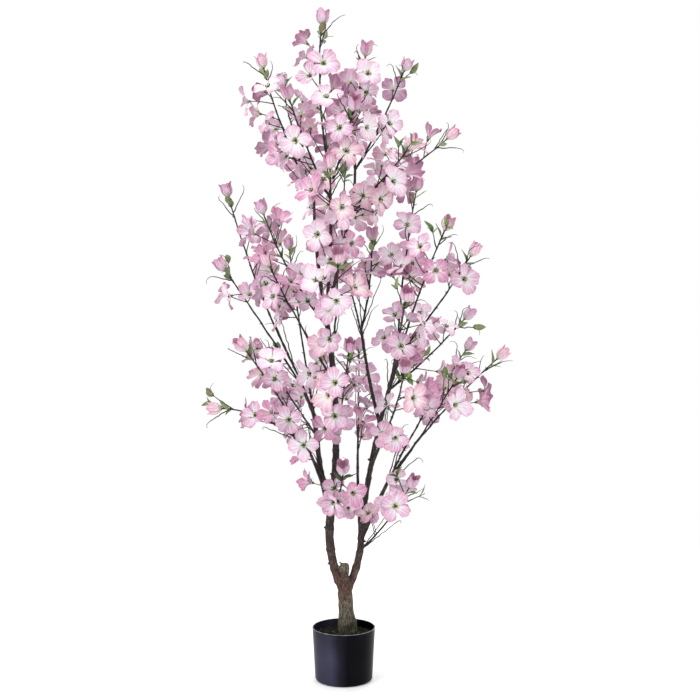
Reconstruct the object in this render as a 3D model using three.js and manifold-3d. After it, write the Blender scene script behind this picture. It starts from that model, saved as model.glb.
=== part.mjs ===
// A pink flowering dogwood made as an indoor tree, standing in a round nursery pot.
// Millimetres, +Z up. The origin is the middle of the pot's flat underside, and the
// tree's front is -Y.
//
// The pot holds a filling, the trunk stands on it and forks into boughs, and each spray
// of twigs, blossom, buds and leaves is one solid that keeps to its own space.
import * as THREE from 'three';
import { mergeVertices } from 'three/addons/utils/BufferGeometryUtils.js';
import Module from 'manifold-3d';

const wasm = await Module();
wasm.setup();

// ---------------------------------------------------------------- driving dimensions
const GAP = 0.3; // clear space between one solid and the next

const POT = {
  height: 147.5,
  rimRadius: 87.4,
  footRadius: 79.4, // where the wall's slope would meet the floor
  wall: 2.6,
  floor: 4,
  footRound: 8, // the rounded corner round the foot
  rimRound: 0.8,
  sides: 32,
};

const FILL = {
  top: 131.7,
  flatRadius: 38, // the level part that the trunk stands on
  edgeDrop: 4,
  sides: 24,
};

const TRUNK = {
  foot: [8, 0, FILL.top + GAP],
  span: [-5, 0, 128],
  bow: [1, 0, -6],
  footRadius: 21,
  forkRadius: 20.5,
  flare: 5.2, // how much the foot spreads beyond the taper
  flareReach: 0.42, // the part of the trunk that it takes
  lobes: 3,
  lobeDepth: 0.14,
  sides: 12,
  steps: 8,
};

// The sawn-off leader that stands up between the two main stems.
const KNOB = { at: 0.97, span: [-2, -14, 72], radii: [15, 12.2], sides: 9 };

// Boughs. Each leaves its parent at a fraction of the parent's length, spans a vector,
// and bows away from the straight line at its middle.
const BOUGHS = {
  left_stem: { from: 'trunk', at: 0.85, span: [-40.6, -10, 225], bow: [-17, 0, -4], radii: [12.5, 11.8] },
  right_stem: { from: 'trunk', at: 0.85, span: [43.4, 20, 153], bow: [11, 2, 6], radii: [11.5, 9.8] },
  left_leader: { from: 'left_stem', at: 1, span: [-13, -45, 560], bow: [22, -12, -10], radii: [10.2, 7.4] },
  left_bough: { from: 'left_stem', at: 1, span: [-45, 70, 264], bow: [-6, 0, -6], radii: [8.2, 7] },
  left_arm: { from: 'left_bough', at: 0.2, span: [-50, -65, 150], bow: [3, -2, 0], radii: [4.8, 3.8] },
  left_arm_up: { from: 'left_bough', at: 1, span: [-45, -25, 118], bow: [-1, 2, 0], radii: [5, 4] },
  upper_left: { from: 'left_leader', at: 1, span: [-32, 65, 305], bow: [-6, -12, 0], radii: [6, 4] },
  upper_front: { from: 'left_leader', at: 0.99, span: [10, -25, 385], bow: [9, -18, 0], radii: [5, 3.8] },
  upper_back: { from: 'left_leader', at: 0.98, span: [43, 80, 196], bow: [3, -5, 0], radii: [5, 4.5] },
  top_back: { from: 'upper_back', at: 1, span: [28, 50, 298], bow: [19, 10, 0], radii: [4.5, 3.5] },
  right_leader: { from: 'right_stem', at: 1, span: [108, -50, 523], bow: [-16, 10, 0], radii: [8.8, 4.8] },
  centre_bough: { from: 'right_stem', at: 0.95, span: [-8, 110, 228], bow: [-3, 0, 0], radii: [5, 3.8] },
  right_arm: { from: 'right_stem', at: 1, span: [78, 25, 160], bow: [0, -2, 0], radii: [6.8, 5] },
  right_spur: { from: 'right_leader', at: 0.36, span: [36, -90, 110], bow: [-1, 0, 0], radii: [4.4, 3.8] },
  back_bough: { from: 'right_leader', at: 0.62, span: [-50, 95, 255], bow: [-4, 8, -6], radii: [5.2, 4] },
};
const BOUGH_SIDES = 6;
const BOUGH_STEP = 95; // about one ring of points in this length

// Sprays. Each is one solid: a stem that leaves its bough, and all that grows on it.
const SPRAYS = {
  low_left: { from: 'left_arm', at: 1, span: [-225, -35, 105], bow: [-6, -10, 26] },
  low_left_front: { from: 'left_arm', at: 0.78, span: [-163, -170, 298], bow: [10, -20, 5] },
  low_left_back: { from: 'left_bough', at: 0.82, span: [-165, 165, 225], bow: [-5, 20, 0] },
  low_front: { from: 'left_leader', at: 0.42, span: [35, -240, 240], bow: [0, -10, -10] },
  low_mid: { from: 'left_leader', at: 0.12, span: [-85, -20, 150], bow: [0, -10, 0], most: 3 },
  low_centre: { from: 'centre_bough', at: 1, span: [5, 110, 285], bow: [0, 12, 0] },
  low_right_front: { from: 'right_spur', at: 1, span: [45, -220, 190], bow: [6, -14, 0] },
  low_right: { from: 'right_arm', at: 1, span: [300, -5, 340], bow: [-22, 0, -4] },
  low_right_mid: { from: 'right_arm', at: 0.93, span: [180, -165, 310], bow: [0, -10, -6] },
  low_right_back: { from: 'right_arm', at: 0.86, span: [240, 180, 375], bow: [-10, 14, 0] },
  low_spur: { from: 'right_stem', at: 0.75, span: [130, -135, 200], bow: [4, -6, -8], most: 3 },
  low_foot: { from: 'left_leader', at: 0.03, span: [32, -130, 120], bow: [6, -6, -4], most: 3 },
  mid_left: { from: 'left_arm_up', at: 0.7, span: [-212, -22, 325], bow: [-8, 0, 18] },
  mid_left_top: { from: 'left_arm_up', at: 1, span: [-187, -38, 490], bow: [-14, 0, 0] },
  mid_back_left: { from: 'left_bough', at: 0.97, span: [-80, 190, 480], bow: [-4, 20, 0] },
  mid_front: { from: 'left_leader', at: 0.8, span: [20, -275, 250], bow: [4, -14, 0] },
  mid_centre: { from: 'back_bough', at: 1, span: [30, 15, 250], bow: [8, 0, 0] },
  mid_back: { from: 'back_bough', at: 0.9, span: [-50, 225, 220], bow: [0, 22, 0] },
  mid_right_low: { from: 'right_leader', at: 0.8, span: [215, 110, 190], bow: [0, 4, -10] },
  mid_right: { from: 'right_leader', at: 1, span: [185, -30, 260], bow: [0, -6, -10] },
  mid_right_top: { from: 'right_leader', at: 0.94, span: [115, -167, 355], bow: [-8, -8, 0] },
  mid_right_in: { from: 'right_leader', at: 0.93, span: [55, 45, 475], bow: [-8, 6, 0] },
  mid_front_right: { from: 'right_leader', at: 0.78, span: [35, -300, 260], bow: [0, -16, 0] },
  top_left: { from: 'upper_left', at: 1, span: [-135, -10, 355], bow: [-14, 0, 8] },
  top_left_back: { from: 'upper_left', at: 0.92, span: [-95, 220, 360], bow: [-6, 18, 0] },
  top_front_left: { from: 'upper_front', at: 0.8, span: [-100, -155, 240], bow: [-6, -16, 0] },
  top: { from: 'upper_front', at: 1, span: [-20, 20, 385], bow: [-14, 0, 0] },
  top_mid: { from: 'top_back', at: 1, span: [35, -75, 210], bow: [0, 0, 0] },
  top_back_left: { from: 'top_back', at: 0.9, span: [-10, 175, 200], bow: [0, 20, 0] },
  top_front: { from: 'upper_front', at: 0.9, span: [60, -185, 170], bow: [6, -14, 0] },
  top_right: { from: 'top_back', at: 0.7, span: [135, -10, 270], bow: [4, 0, -6] },
  top_right_low: { from: 'top_back', at: 0.45, span: [255, -35, 155], bow: [4, 0, -14] },
  top_right_front: { from: 'upper_front', at: 0.62, span: [200, -95, 190], bow: [4, -10, -10] },
  top_right_back: { from: 'top_back', at: 0.3, span: [160, 200, 190], bow: [4, 14, -10] },
  upper_side: { from: 'left_leader', at: 0.93, span: [-165, -95, 300], bow: [-16, -14, 0] },
  mid_left_front: { from: 'left_leader', at: 0.68, span: [-165, -130, 310], bow: [-4, -16, 0] },
  upper_middle: { from: 'upper_front', at: 0.3, span: [5, -200, 255], bow: [4, -16, -6] },
  upper_rear: { from: 'upper_back', at: 0.9, span: [10, 285, 245], bow: [0, 20, -6] },
};

// The sky that shows through the crown to an eye in front of it, at the trunk's depth:
// each opening's middle across and up, and its half width and half height.
const EYE = [17, -3400, 1114];
const SKY = {
  left_top: { middle: [-190, 1760], reach: [50, 60] },
  top_notch: { middle: [30, 1735], reach: [50, 40] },
  left_shoulder: { middle: [-170, 1580], reach: [30, 35] },
  right_shoulder: { middle: [200, 1570], reach: [62, 52] },
  right_brow: { middle: [290, 1440], reach: [45, 60] },
  left_waist: { middle: [-235, 1385], reach: [95, 42] },
  upper_heart: { middle: [-5, 1370], reach: [22, 35] },
  right_waist: { middle: [265, 1300], reach: [62, 75] },
  right_slit: { middle: [85, 1215], reach: [22, 28] },
  right_tip: { middle: [340, 1190], reach: [40, 50] },
  left_edge: { middle: [-320, 1200], reach: [50, 38] },
  left_hollow: { middle: [-262, 992], reach: [68, 42] },
  left_inner: { middle: [-135, 945], reach: [52, 40] },
  heart: { middle: [22, 1008], reach: [34, 36] },
  right_heart: { middle: [85, 1035], reach: [34, 72] },
  right_gap: { middle: [247, 1048], reach: [22, 32] },
  right_hollow: { middle: [262, 918], reach: [34, 30] },
  right_edge: { middle: [365, 1000], reach: [60, 90] },
  left_low: { middle: [-330, 820], reach: [80, 75] },
  low_slit: { middle: [140, 825], reach: [20, 38] },
  lower_slit: { middle: [160, 722], reach: [25, 18] },
  right_low: { middle: [310, 680], reach: [90, 55] },
  right_foot: { middle: [235, 625], reach: [55, 48] },
  right_stems: { middle: [110, 625], reach: [38, 26] },
  stems: { middle: [12, 605], reach: [22, 50] },
  left_foot: { middle: [-220, 580], reach: [90, 85] },
  left_under: { middle: [-260, 675], reach: [90, 30] },
  left_base: { middle: [-60, 430], reach: [80, 45] },
  right_base: { middle: [150, 380], reach: [80, 70] },
  right_corner: { middle: [250, 490], reach: [60, 45] },
};
const OVERHANG = 0.6; // the part of a bloom's radius that keeps out of the sky

// How a spray grows.
const STEM = { radii: [4, 2.4], sides: 4, steps: 4 };
const TWIG = {
  tries: 160, // candidate twigs on a stem
  spread: 0.755, // the part of the twigs' stretch from one to the next
  most: 7, // kept ones, unless the spray says otherwise
  first: 0.08, // the part of the stem that carries twigs
  last: 0.78,
  turn: 2.39996, // from one twig to the next round the stem
  splay: [0.66, 1.19],
  length: [45, 95],
  radii: [1.2, 1],
};
const BLOOM = {
  radius: [40, 49],
  cup: [0.18, 0.5], // rise of a petal over its length
  petals: 4,
  waist: 0.46, // how near two petals part to the middle
  lobeAngle: 0.48,
  thickness: 2.6,
  apart: 3.5, // from one bloom on a spray to anything else on it
};
// A bud is the stem's end swollen: height above the tip and radius, then the hollow mouth.
const BUD = { rings: [[14, 12], [40, 16]], hollow: 11 };
const LEAF = { length: 44, width: 19, thickness: 1.2, below: 20, apart: 9, open: 0.75 };
const MARGIN = 2.2; // by which all of a spray is nearer to its own stem than to another
const LIMB_CLEARANCE = 3;

const AXIS = [20, 0]; // the upright line that the blossom faces away from

const COLOURS = {
  pot: { color: 0x17181c, roughness: 0.42, metalness: 0 },
  pot_fill: { color: 0x2f2a1f, roughness: 1, metalness: 0 },
  trunk: { color: 0x5b4a3a, roughness: 0.95, metalness: 0 },
  bough: { color: 0x3a2a24, roughness: 0.9, metalness: 0 },
  spray: { color: 0xe9a9c6, roughness: 0.8, metalness: 0 },
};

// ---------------------------------------------------------------- solids
const vector = (xyz) => new THREE.Vector3(...xyz);

function solidOf(geometry) {
  const bare = geometry.clone();
  bare.deleteAttribute('normal');
  bare.deleteAttribute('uv');
  const merged = mergeVertices(bare, 1e-4);
  const mesh = new wasm.Mesh({
    numProp: 3,
    vertProperties: new Float32Array(merged.attributes.position.array),
    triVerts: new Uint32Array(merged.index.array),
  });
  return new wasm.Manifold(mesh);
}

function geometryOf(solid) {
  const mesh = solid.getMesh();
  const geometry = new THREE.BufferGeometry();
  const points = new Float32Array(mesh.vertProperties);
  geometry.setAttribute('position', new THREE.BufferAttribute(points, 3));
  geometry.setIndex(Array.from(mesh.triVerts));
  geometry.computeVertexNormals();
  return geometry;
}

const largest = (solid) => solid.decompose().sort((a, b) => b.volume() - a.volume())[0];

// Two directions square to a third: across, and along = across x third.
function squareTo(direction, reference) {
  const helper = reference || (Math.abs(direction.z) < 0.9 ? [0, 0, 1] : [0, -1, 0]);
  const across = vector(helper).cross(direction).normalize();
  return [across, direction.clone().cross(across)];
}

// ---------------------------------------------------------------- tapering bars
function curveFrom(start, span, bow) {
  const end = start.clone().add(vector(span));
  const handle = start.clone().add(end).multiplyScalar(0.5).addScaledVector(vector(bow), 2);
  return new THREE.QuadraticBezierCurve3(start, handle, end);
}

const leastAligned = (curve) => {
  const chord = curve.v2.clone().sub(curve.v0);
  const sizes = [Math.abs(chord.x), Math.abs(chord.y), Math.abs(chord.z)];
  const least = sizes.indexOf(Math.min(...sizes));
  return [0, 1, 2].map((axis) => (axis === least ? 1 : 0));
};

// A cylinder with each ring of its points moved to a place of its own. A ring has a
// middle, a heading, a radius at an angle, and a dent for the middle of an end cap.
function ringed(rings, sides, reference) {
  const steps = rings.length - 1;
  const geometry = new THREE.CylinderGeometry(1, 1, 1, sides, steps);
  const points = geometry.attributes.position;
  for (let i = 0; i < points.count; i += 1) {
    const ring = rings[Math.round((points.getY(i) + 0.5) * steps)];
    const reach = Math.hypot(points.getX(i), points.getZ(i));
    const angle = Math.atan2(points.getZ(i), points.getX(i));
    const [across, along] = squareTo(ring.heading, reference);
    const radius = reach * ring.radius(angle);
    const place = ring.middle.clone();
    if (reach < 0.5) place.addScaledVector(ring.heading, -(ring.dent || 0));
    place.addScaledVector(across, radius * Math.cos(angle));
    place.addScaledVector(along, -radius * Math.sin(angle));
    points.setXYZ(i, place.x, place.y, place.z);
  }
  return solidOf(geometry);
}

// The rings of a bar that follows a curve; swell grows it outwards, its ends too.
function ringsAlong(curve, radiusAt, sides, steps, swell = 0) {
  return Array.from({ length: steps + 1 }, (_, step) => {
    const t = step / steps;
    const heading = curve.getTangent(t);
    const past = swell * ((t === 1) - (t === 0));
    const middle = curve.getPoint(t).addScaledVector(heading, past);
    const radius = (angle) => radiusAt(t, angle) + swell / Math.cos(Math.PI / sides);
    return { middle, heading, radius };
  });
}

const bar = (curve, radiusAt, sides, steps, swell) =>
  ringed(ringsAlong(curve, radiusAt, sides, steps, swell), sides, leastAligned(curve));

const taper = ([from, to]) => (t) => from + (to - from) * t;

function trunkRadius(t, angle) {
  const spread = Math.exp(-((t / TRUNK.flareReach) ** 4));
  const lobe = 1 + TRUNK.lobeDepth * spread * Math.cos(TRUNK.lobes * angle + 0.6);
  return (taper([TRUNK.footRadius, TRUNK.forkRadius])(t) + TRUNK.flare * spread) * lobe;
}

// ---------------------------------------------------------------- pot and filling
function lathe(profile, sides) {
  const outline = profile.map(([radius, height]) => new THREE.Vector2(radius, height));
  return new THREE.LatheGeometry(outline, sides).rotateX(Math.PI / 2);
}

function outerRadius(height) {
  return POT.footRadius + (POT.rimRadius - POT.footRadius) * (height / POT.height);
}

function potGeometry() {
  const rim = POT.height - POT.rimRound;
  const profile = [
    [0, 0],
    [POT.footRadius - POT.footRound, 0],
    [outerRadius(0) - POT.footRound * 0.3, POT.footRound * 0.3],
    [outerRadius(POT.footRound), POT.footRound],
    [outerRadius(rim), rim],
    [POT.rimRadius - POT.rimRound, POT.height],
    [POT.rimRadius - POT.wall + POT.rimRound, POT.height],
    [outerRadius(rim) - POT.wall, rim],
    [outerRadius(POT.footRound) - POT.wall, POT.footRound],
    [POT.footRadius - POT.footRound, POT.floor],
    [0, POT.floor],
  ];
  return lathe(profile, POT.sides);
}

function fillGeometry() {
  const flat = Math.cos(Math.PI / POT.sides); // the pot's facets lie inside its corners
  const inside = (height) => (outerRadius(height) - POT.wall) * flat - GAP;
  const low = POT.footRound + GAP;
  const edge = FILL.top - FILL.edgeDrop;
  const profile = [
    [0, low],
    [inside(low), low],
    [inside(edge), edge],
    [(inside(edge) + FILL.flatRadius) / 2, FILL.top - FILL.edgeDrop / 3],
    [FILL.flatRadius, FILL.top],
    [0, FILL.top],
  ];
  return lathe(profile, FILL.sides);
}

// ---------------------------------------------------------------- limbs
const curves = { trunk: curveFrom(vector(TRUNK.foot), TRUNK.span, TRUNK.bow) };
for (const [name, bough] of Object.entries(BOUGHS)) {
  curves[name] = curveFrom(curves[bough.from].getPoint(bough.at), bough.span, bough.bow);
}

function trunkSolid(swell) {
  const stem = bar(curves.trunk, trunkRadius, TRUNK.sides, TRUNK.steps, swell);
  const knobCurve = curveFrom(curves.trunk.getPoint(KNOB.at), KNOB.span, [0, 0, 0]);
  return stem.add(bar(knobCurve, taper(KNOB.radii), KNOB.sides, 1, swell));
}

function boughSolid(name, swell) {
  const steps = Math.max(2, Math.round(curves[name].getLength() / BOUGH_STEP));
  return bar(curves[name], taper(BOUGHS[name].radii), BOUGH_SIDES, steps, swell);
}

// ---------------------------------------------------------------- the growing rule
// A row of numbers between 0 and 1 from a seed, the same wherever it is worked out.
function stream(seed) {
  let state = (seed * 48271) % 2147483647;
  const draw = (low = 0, high = 1) => {
    state = (state * 16807) % 2147483647;
    return low + ((high - low) * state) / 2147483647;
  };
  draw();
  draw();
  return draw;
}

// A spray's seed is its place in the list.
const seedOf = (name) => Object.keys(SPRAYS).indexOf(name) + 1;

const SPINE_STEPS = 8;
const spines = {};
for (const [name, spray] of Object.entries(SPRAYS)) {
  curves[name] = curveFrom(curves[spray.from].getPoint(spray.at), spray.span, spray.bow);
  spines[name] = curves[name].getPoints(SPINE_STEPS);
}
const limbNames = ['trunk', ...Object.keys(BOUGHS)];
const limbSpines = limbNames.map((name) => ({
  points: curves[name].getPoints(SPINE_STEPS),
  radii: name === 'trunk' ? [TRUNK.footRadius, TRUNK.forkRadius] : BOUGHS[name].radii,
}));

function distanceTo(point, a, b) {
  const line = new THREE.Line3(a, b);
  return line.closestPointToPoint(point, true, new THREE.Vector3()).distanceTo(point);
}

function distanceToSpine(point, points) {
  let least = Infinity;
  for (let i = 1; i < points.length; i += 1) {
    least = Math.min(least, distanceTo(point, points[i - 1], points[i]));
  }
  return least;
}

function inOwnSpace(point, name) {
  const own = distanceToSpine(point, spines[name]) + MARGIN;
  return Object.keys(spines).every((other) => other === name || distanceToSpine(point, spines[other]) > own);
}

function clearOfLimbs(point) {
  return limbSpines.every(({ points, radii }) => {
    const thick = Math.max(...radii);
    return distanceToSpine(point, points) > thick + LIMB_CLEARANCE;
  });
}

// Whether any of the points lies in a bloom's bowl or just off it.
function touches(points, bloom) {
  return points.some((point) => {
    const offset = point.clone().sub(bloom.centre);
    const height = offset.dot(bloom.normal);
    const reach = offset.addScaledVector(bloom.normal, -height).length();
    return reach < bloom.radius + BLOOM.apart && Math.abs(height - bloom.cup * reach) < BLOOM.apart;
  });
}

const fits = (points, name) => points.every((p) => clearOfLimbs(p) && inOwnSpace(p, name));

// Whether a bloom hangs before or behind one of the openings.
function overSky({ centre, radius }) {
  const eye = vector(EYE);
  const line = centre.clone().sub(eye);
  const seen = eye.addScaledVector(line, -EYE[1] / line.y);
  const keep = OVERHANG * radius;
  return Object.values(SKY).some(({ middle: [x, z], reach: [width, height] }) => {
    return Math.hypot((seen.x - x) / (width + keep), (seen.z - z) / (height + keep)) < 1;
  });
}

// The outline of a bloom: for each petal the waist before it and the two lobes of its end.
function bloomOutline(bloom) {
  const outline = [];
  for (let petal = 0; petal < BLOOM.petals; petal += 1) {
    const middle = (petal * 2 * Math.PI) / BLOOM.petals;
    const corners = [
      [middle - Math.PI / BLOOM.petals, BLOOM.waist],
      [middle - BLOOM.lobeAngle, 1],
      [middle + BLOOM.lobeAngle, 1],
    ];
    for (const [angle, reach] of corners) {
      const radius = reach * bloom.radius;
      const point = bloom.centre.clone();
      point.addScaledVector(bloom.across, radius * Math.cos(angle));
      point.addScaledVector(bloom.along, radius * Math.sin(angle));
      point.addScaledVector(bloom.normal, radius * bloom.cup);
      outline.push(point);
    }
  }
  return outline;
}

// Points spread over a bloom and its twig, to test them with.
function bloomPoints(bloom) {
  const rim = bloomOutline(bloom);
  const halfway = rim.map((point) => point.clone().lerp(bloom.centre, 0.4));
  const stalk = [0.45, 0.65, 0.85].map((part) => bloom.root.clone().lerp(bloom.centre, part));
  return [bloom.centre, ...stalk, ...rim, ...halfway];
}

// One candidate twig, with the bloom at its end and perhaps a pair of leaves on it.
function candidate(name, k) {
  const seed = seedOf(name);
  const draw = stream(seed * 1000 + k + 1);
  const t = TWIG.first + (TWIG.last - TWIG.first) * ((TWIG.spread * (k + seed)) % 1);
  const root = curves[name].getPoint(t);
  const tangent = curves[name].getTangent(t);
  const [across, along] = squareTo(tangent);
  const azimuth = TWIG.turn * k + draw(-0.4, 0.4) + seed;
  const radial = across.multiplyScalar(Math.cos(azimuth)).addScaledVector(along, Math.sin(azimuth));
  const splay = draw(...TWIG.splay);
  const direction = tangent.multiplyScalar(Math.cos(splay)).addScaledVector(radial, Math.sin(splay));
  const length = draw(...TWIG.length) * (1 - 0.3 * t);
  const centre = root.clone().addScaledVector(direction, length);
  const outward = new THREE.Vector3(centre.x - AXIS[0], centre.y - AXIS[1], 0).normalize();
  const normal = direction.clone().multiplyScalar(0.9);
  normal.addScaledVector(radial, 0.5).addScaledVector(outward, 0.5).z += 0.25;
  normal.add(vector([draw(-0.45, 0.45), draw(-0.45, 0.45), draw(-0.45, 0.45)])).normalize();
  const face = Math.max(0, 0.55 - normal.dot(direction));
  normal.addScaledVector(direction, face).normalize();
  const [flat, upright] = squareTo(normal);
  const roll = draw(0, Math.PI / 2);
  const petal = flat.clone().multiplyScalar(Math.cos(roll)).addScaledVector(upright, Math.sin(roll));
  return {
    t,
    root,
    direction,
    length,
    centre,
    normal,
    across: petal,
    along: normal.clone().cross(petal),
    radius: draw(...BLOOM.radius),
    cup: draw(...BLOOM.cup),
  };
}

// A leaf that leaves a twig at an open angle.
function bladeAt(root, direction, side, scale) {
  const heading = direction.clone().multiplyScalar(Math.cos(LEAF.open));
  heading.addScaledVector(side, Math.sin(LEAF.open));
  const face = direction.clone().multiplyScalar(Math.sin(LEAF.open));
  face.addScaledVector(side, -Math.cos(LEAF.open));
  return { root, heading, face, scale };
}

const bladePoints = ({ root, heading, scale }) =>
  [0.35, 0.65, 1].map((part) => root.clone().addScaledVector(heading, part * scale * LEAF.length));

function grow(name) {
  const spray = SPRAYS[name];
  const blooms = [];
  for (let k = 0; k < TWIG.tries && blooms.length < (spray.most || TWIG.most); k += 1) {
    const bloom = candidate(name, k);
    if (overSky(bloom)) continue;
    const points = bloomPoints(bloom);
    const apart = blooms.every((other) => !touches(points, other) && !touches(bloomPoints(other), bloom));
    if (apart && fits(points, name)) blooms.push(bloom);
  }
  // A bud ends the stem, over two leaves.
  const tip = curves[name].getPoint(1);
  const heading = curves[name].getTangent(1);
  const [across, along] = squareTo(heading);
  const leaves = [0, 1].map((step) => {
    const roll = seedOf(name) + step * Math.PI;
    const side = across.clone().multiplyScalar(Math.cos(roll)).addScaledVector(along, Math.sin(roll));
    const root = tip.clone().addScaledVector(heading, -LEAF.below - step * LEAF.apart);
    return bladeAt(root, heading, side, 1 - 0.15 * step);
  });
  const kept = leaves.filter((blade) => {
    const points = bladePoints(blade);
    return fits(points, name) && !blooms.some((bloom) => touches(points, bloom));
  });
  return { blooms, leaves: kept, bud: { root: tip, heading } };
}

// ---------------------------------------------------------------- spray solids
// A twig and its bloom in one skin: a bowl of petals on a three-sided stalk.
function bloomSolid(bloom) {
  const points = bloomOutline(bloom);
  const count = points.length;
  const half = BLOOM.thickness / 2;
  const top = count;
  points.push(bloom.centre.clone().addScaledVector(bloom.normal, half));
  const collar = count + 1;
  const foot = collar + 3;
  const [across, along] = squareTo(bloom.direction);
  const collarCentre = bloom.centre.clone().addScaledVector(bloom.direction, -half);
  const ends = [
    [collarCentre, TWIG.radii[1]],
    [bloom.root, TWIG.radii[0]],
  ];
  for (const [middle, radius] of ends) {
    for (let side = 0; side < 3; side += 1) {
      const angle = (side * 2 * Math.PI) / 3;
      const point = middle.clone().addScaledVector(across, radius * Math.cos(angle));
      points.push(point.addScaledVector(along, radius * Math.sin(angle)));
    }
  }
  const angleOf = (point) => {
    const offset = point.clone().sub(collarCentre);
    return Math.atan2(offset.dot(bloom.along), offset.dot(bloom.across));
  };
  const between = (a, b) => Math.abs(Math.atan2(Math.sin(a - b), Math.cos(a - b)));
  const nearest = (i) => {
    const middle = points[i].clone().lerp(points[(i + 1) % count], 0.5);
    const gaps = [0, 1, 2].map((side) => between(angleOf(middle), angleOf(points[collar + side])));
    return gaps.indexOf(Math.min(...gaps));
  };
  const faces = [];
  for (let i = 0; i < count; i += 1) {
    const next = (i + 1) % count;
    faces.push(i, next, top);
    faces.push(next, i, collar + nearest(i));
    if (nearest(i) !== nearest(next)) faces.push(next, collar + nearest(i), collar + nearest(next));
  }
  for (let side = 0; side < 3; side += 1) {
    const next = (side + 1) % 3;
    faces.push(collar + side, foot + side, collar + next);
    faces.push(foot + side, foot + next, collar + next);
  }
  faces.push(foot, foot + 2, foot + 1);
  const geometry = new THREE.BufferGeometry();
  geometry.setAttribute('position', new THREE.Float32BufferAttribute(points.flatMap((p) => p.toArray()), 3));
  geometry.setIndex(faces);
  return solidOf(geometry);
}

// A leaf: a sphere of eight facets drawn out to a pointed blade.
function leafSolid({ root, heading, face, scale }) {
  const geometry = new THREE.SphereGeometry(1, 4, 2);
  const across = face.clone().cross(heading);
  const points = geometry.attributes.position;
  const widest = 0.4 * LEAF.length;
  for (let i = 0; i < points.count; i += 1) {
    const [x, y, z] = [points.getX(i), points.getY(i), points.getZ(i)].map(Math.round);
    const along = z === 0 ? widest : z > 0 ? LEAF.length : 0;
    const place = root.clone().addScaledVector(heading, along * scale);
    place.addScaledVector(across, (x * LEAF.width * scale) / 2);
    place.addScaledVector(face, (y * LEAF.thickness) / 2);
    points.setXYZ(i, place.x, place.y, place.z);
  }
  return solidOf(geometry);
}

// The stem, swollen at its end into a bud with an open mouth.
function stemSolid(name, { root, heading }) {
  const rings = ringsAlong(curves[name], taper(STEM.radii), STEM.sides, STEM.steps);
  for (const [height, radius] of BUD.rings) {
    const middle = root.clone().addScaledVector(heading, height);
    rings.push({ middle, heading, radius: () => radius, dent: BUD.hollow });
  }
  return ringed(rings, STEM.sides, leastAligned(curves[name]));
}

function spraySolid(name) {
  const { blooms, leaves, bud } = grow(name);
  const parts = [...blooms.map(bloomSolid), ...leaves.map(leafSolid)];
  return parts.reduce((sum, part) => sum.add(part), stemSolid(name, bud));
}

// ---------------------------------------------------------------- assembly
const group = new THREE.Group();
group.name = 'flowering_dogwood';

function addMesh(name, geometry, look) {
  const mesh = new THREE.Mesh(geometry, new THREE.MeshStandardMaterial(COLOURS[look]));
  mesh.name = name;
  group.add(mesh);
}

addMesh('pot', potGeometry(), 'pot');
addMesh('pot_fill', fillGeometry(), 'pot_fill');

// Each limb gives way to the ones before it, and each spray to every limb.
const grown = [trunkSolid(GAP)];
addMesh('trunk', geometryOf(trunkSolid(0)), 'trunk');
for (const name of Object.keys(BOUGHS)) {
  const cut = grown.reduce((solid, limb) => solid.subtract(limb), boughSolid(name, 0));
  addMesh(name, geometryOf(largest(cut)), 'bough');
  grown.push(boughSolid(name, GAP));
}
for (const name of Object.keys(SPRAYS)) {
  const cut = grown.reduce((solid, limb) => solid.subtract(limb), spraySolid(name));
  addMesh(`spray_${name}`, geometryOf(largest(cut)), 'spray');
}

export default group;
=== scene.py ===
"""The looks of a pink flowering dogwood made as an indoor tree, in a round nursery pot.

The limbs, stems, twigs and blooms grow by the rule of the solids, in millimetres. Here the
same rule is carried on to petals, stamens, leaves and finer twigs. Points become metres as
a mesh is made.
"""
import itertools
import math
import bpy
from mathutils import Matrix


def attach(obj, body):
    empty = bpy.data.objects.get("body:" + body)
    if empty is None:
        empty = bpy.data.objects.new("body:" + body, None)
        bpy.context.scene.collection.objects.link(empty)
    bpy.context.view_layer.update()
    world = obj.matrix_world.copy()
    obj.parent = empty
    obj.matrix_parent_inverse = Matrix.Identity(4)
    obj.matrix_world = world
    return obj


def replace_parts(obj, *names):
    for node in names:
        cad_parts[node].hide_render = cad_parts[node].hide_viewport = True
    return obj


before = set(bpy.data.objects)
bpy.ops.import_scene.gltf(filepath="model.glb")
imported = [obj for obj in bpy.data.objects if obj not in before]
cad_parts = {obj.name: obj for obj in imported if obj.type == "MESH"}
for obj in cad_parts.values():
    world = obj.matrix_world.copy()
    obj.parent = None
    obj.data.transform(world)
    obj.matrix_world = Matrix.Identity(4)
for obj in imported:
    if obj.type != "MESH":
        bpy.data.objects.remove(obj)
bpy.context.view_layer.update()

from types import SimpleNamespace as Values

import bpy
import numpy as np
from numpy.linalg import norm

MM = 0.001
TURN = 2 * math.pi
AXES = np.eye(3)

# ---- the solids' dimensions
POT = Values(height=147.5, rim=87.4, foot=79.4, wall=2.6, foot_round=8, rim_round=0.8)
FILL = Values(top=131.7, edge_drop=4, flat=38)
TRUNK = Values(foot=(8, 0, 132), span=(-5, 0, 128), bow=(1, 0, -6), radii=(21, 20.5))
FLARE = Values(spread=5.2, reach=0.42, lobes=3, depth=0.14, turned=0.6)
KNOB = Values(at=0.97, span=(-2, -14, 72), radii=(15, 12.2))

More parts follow.
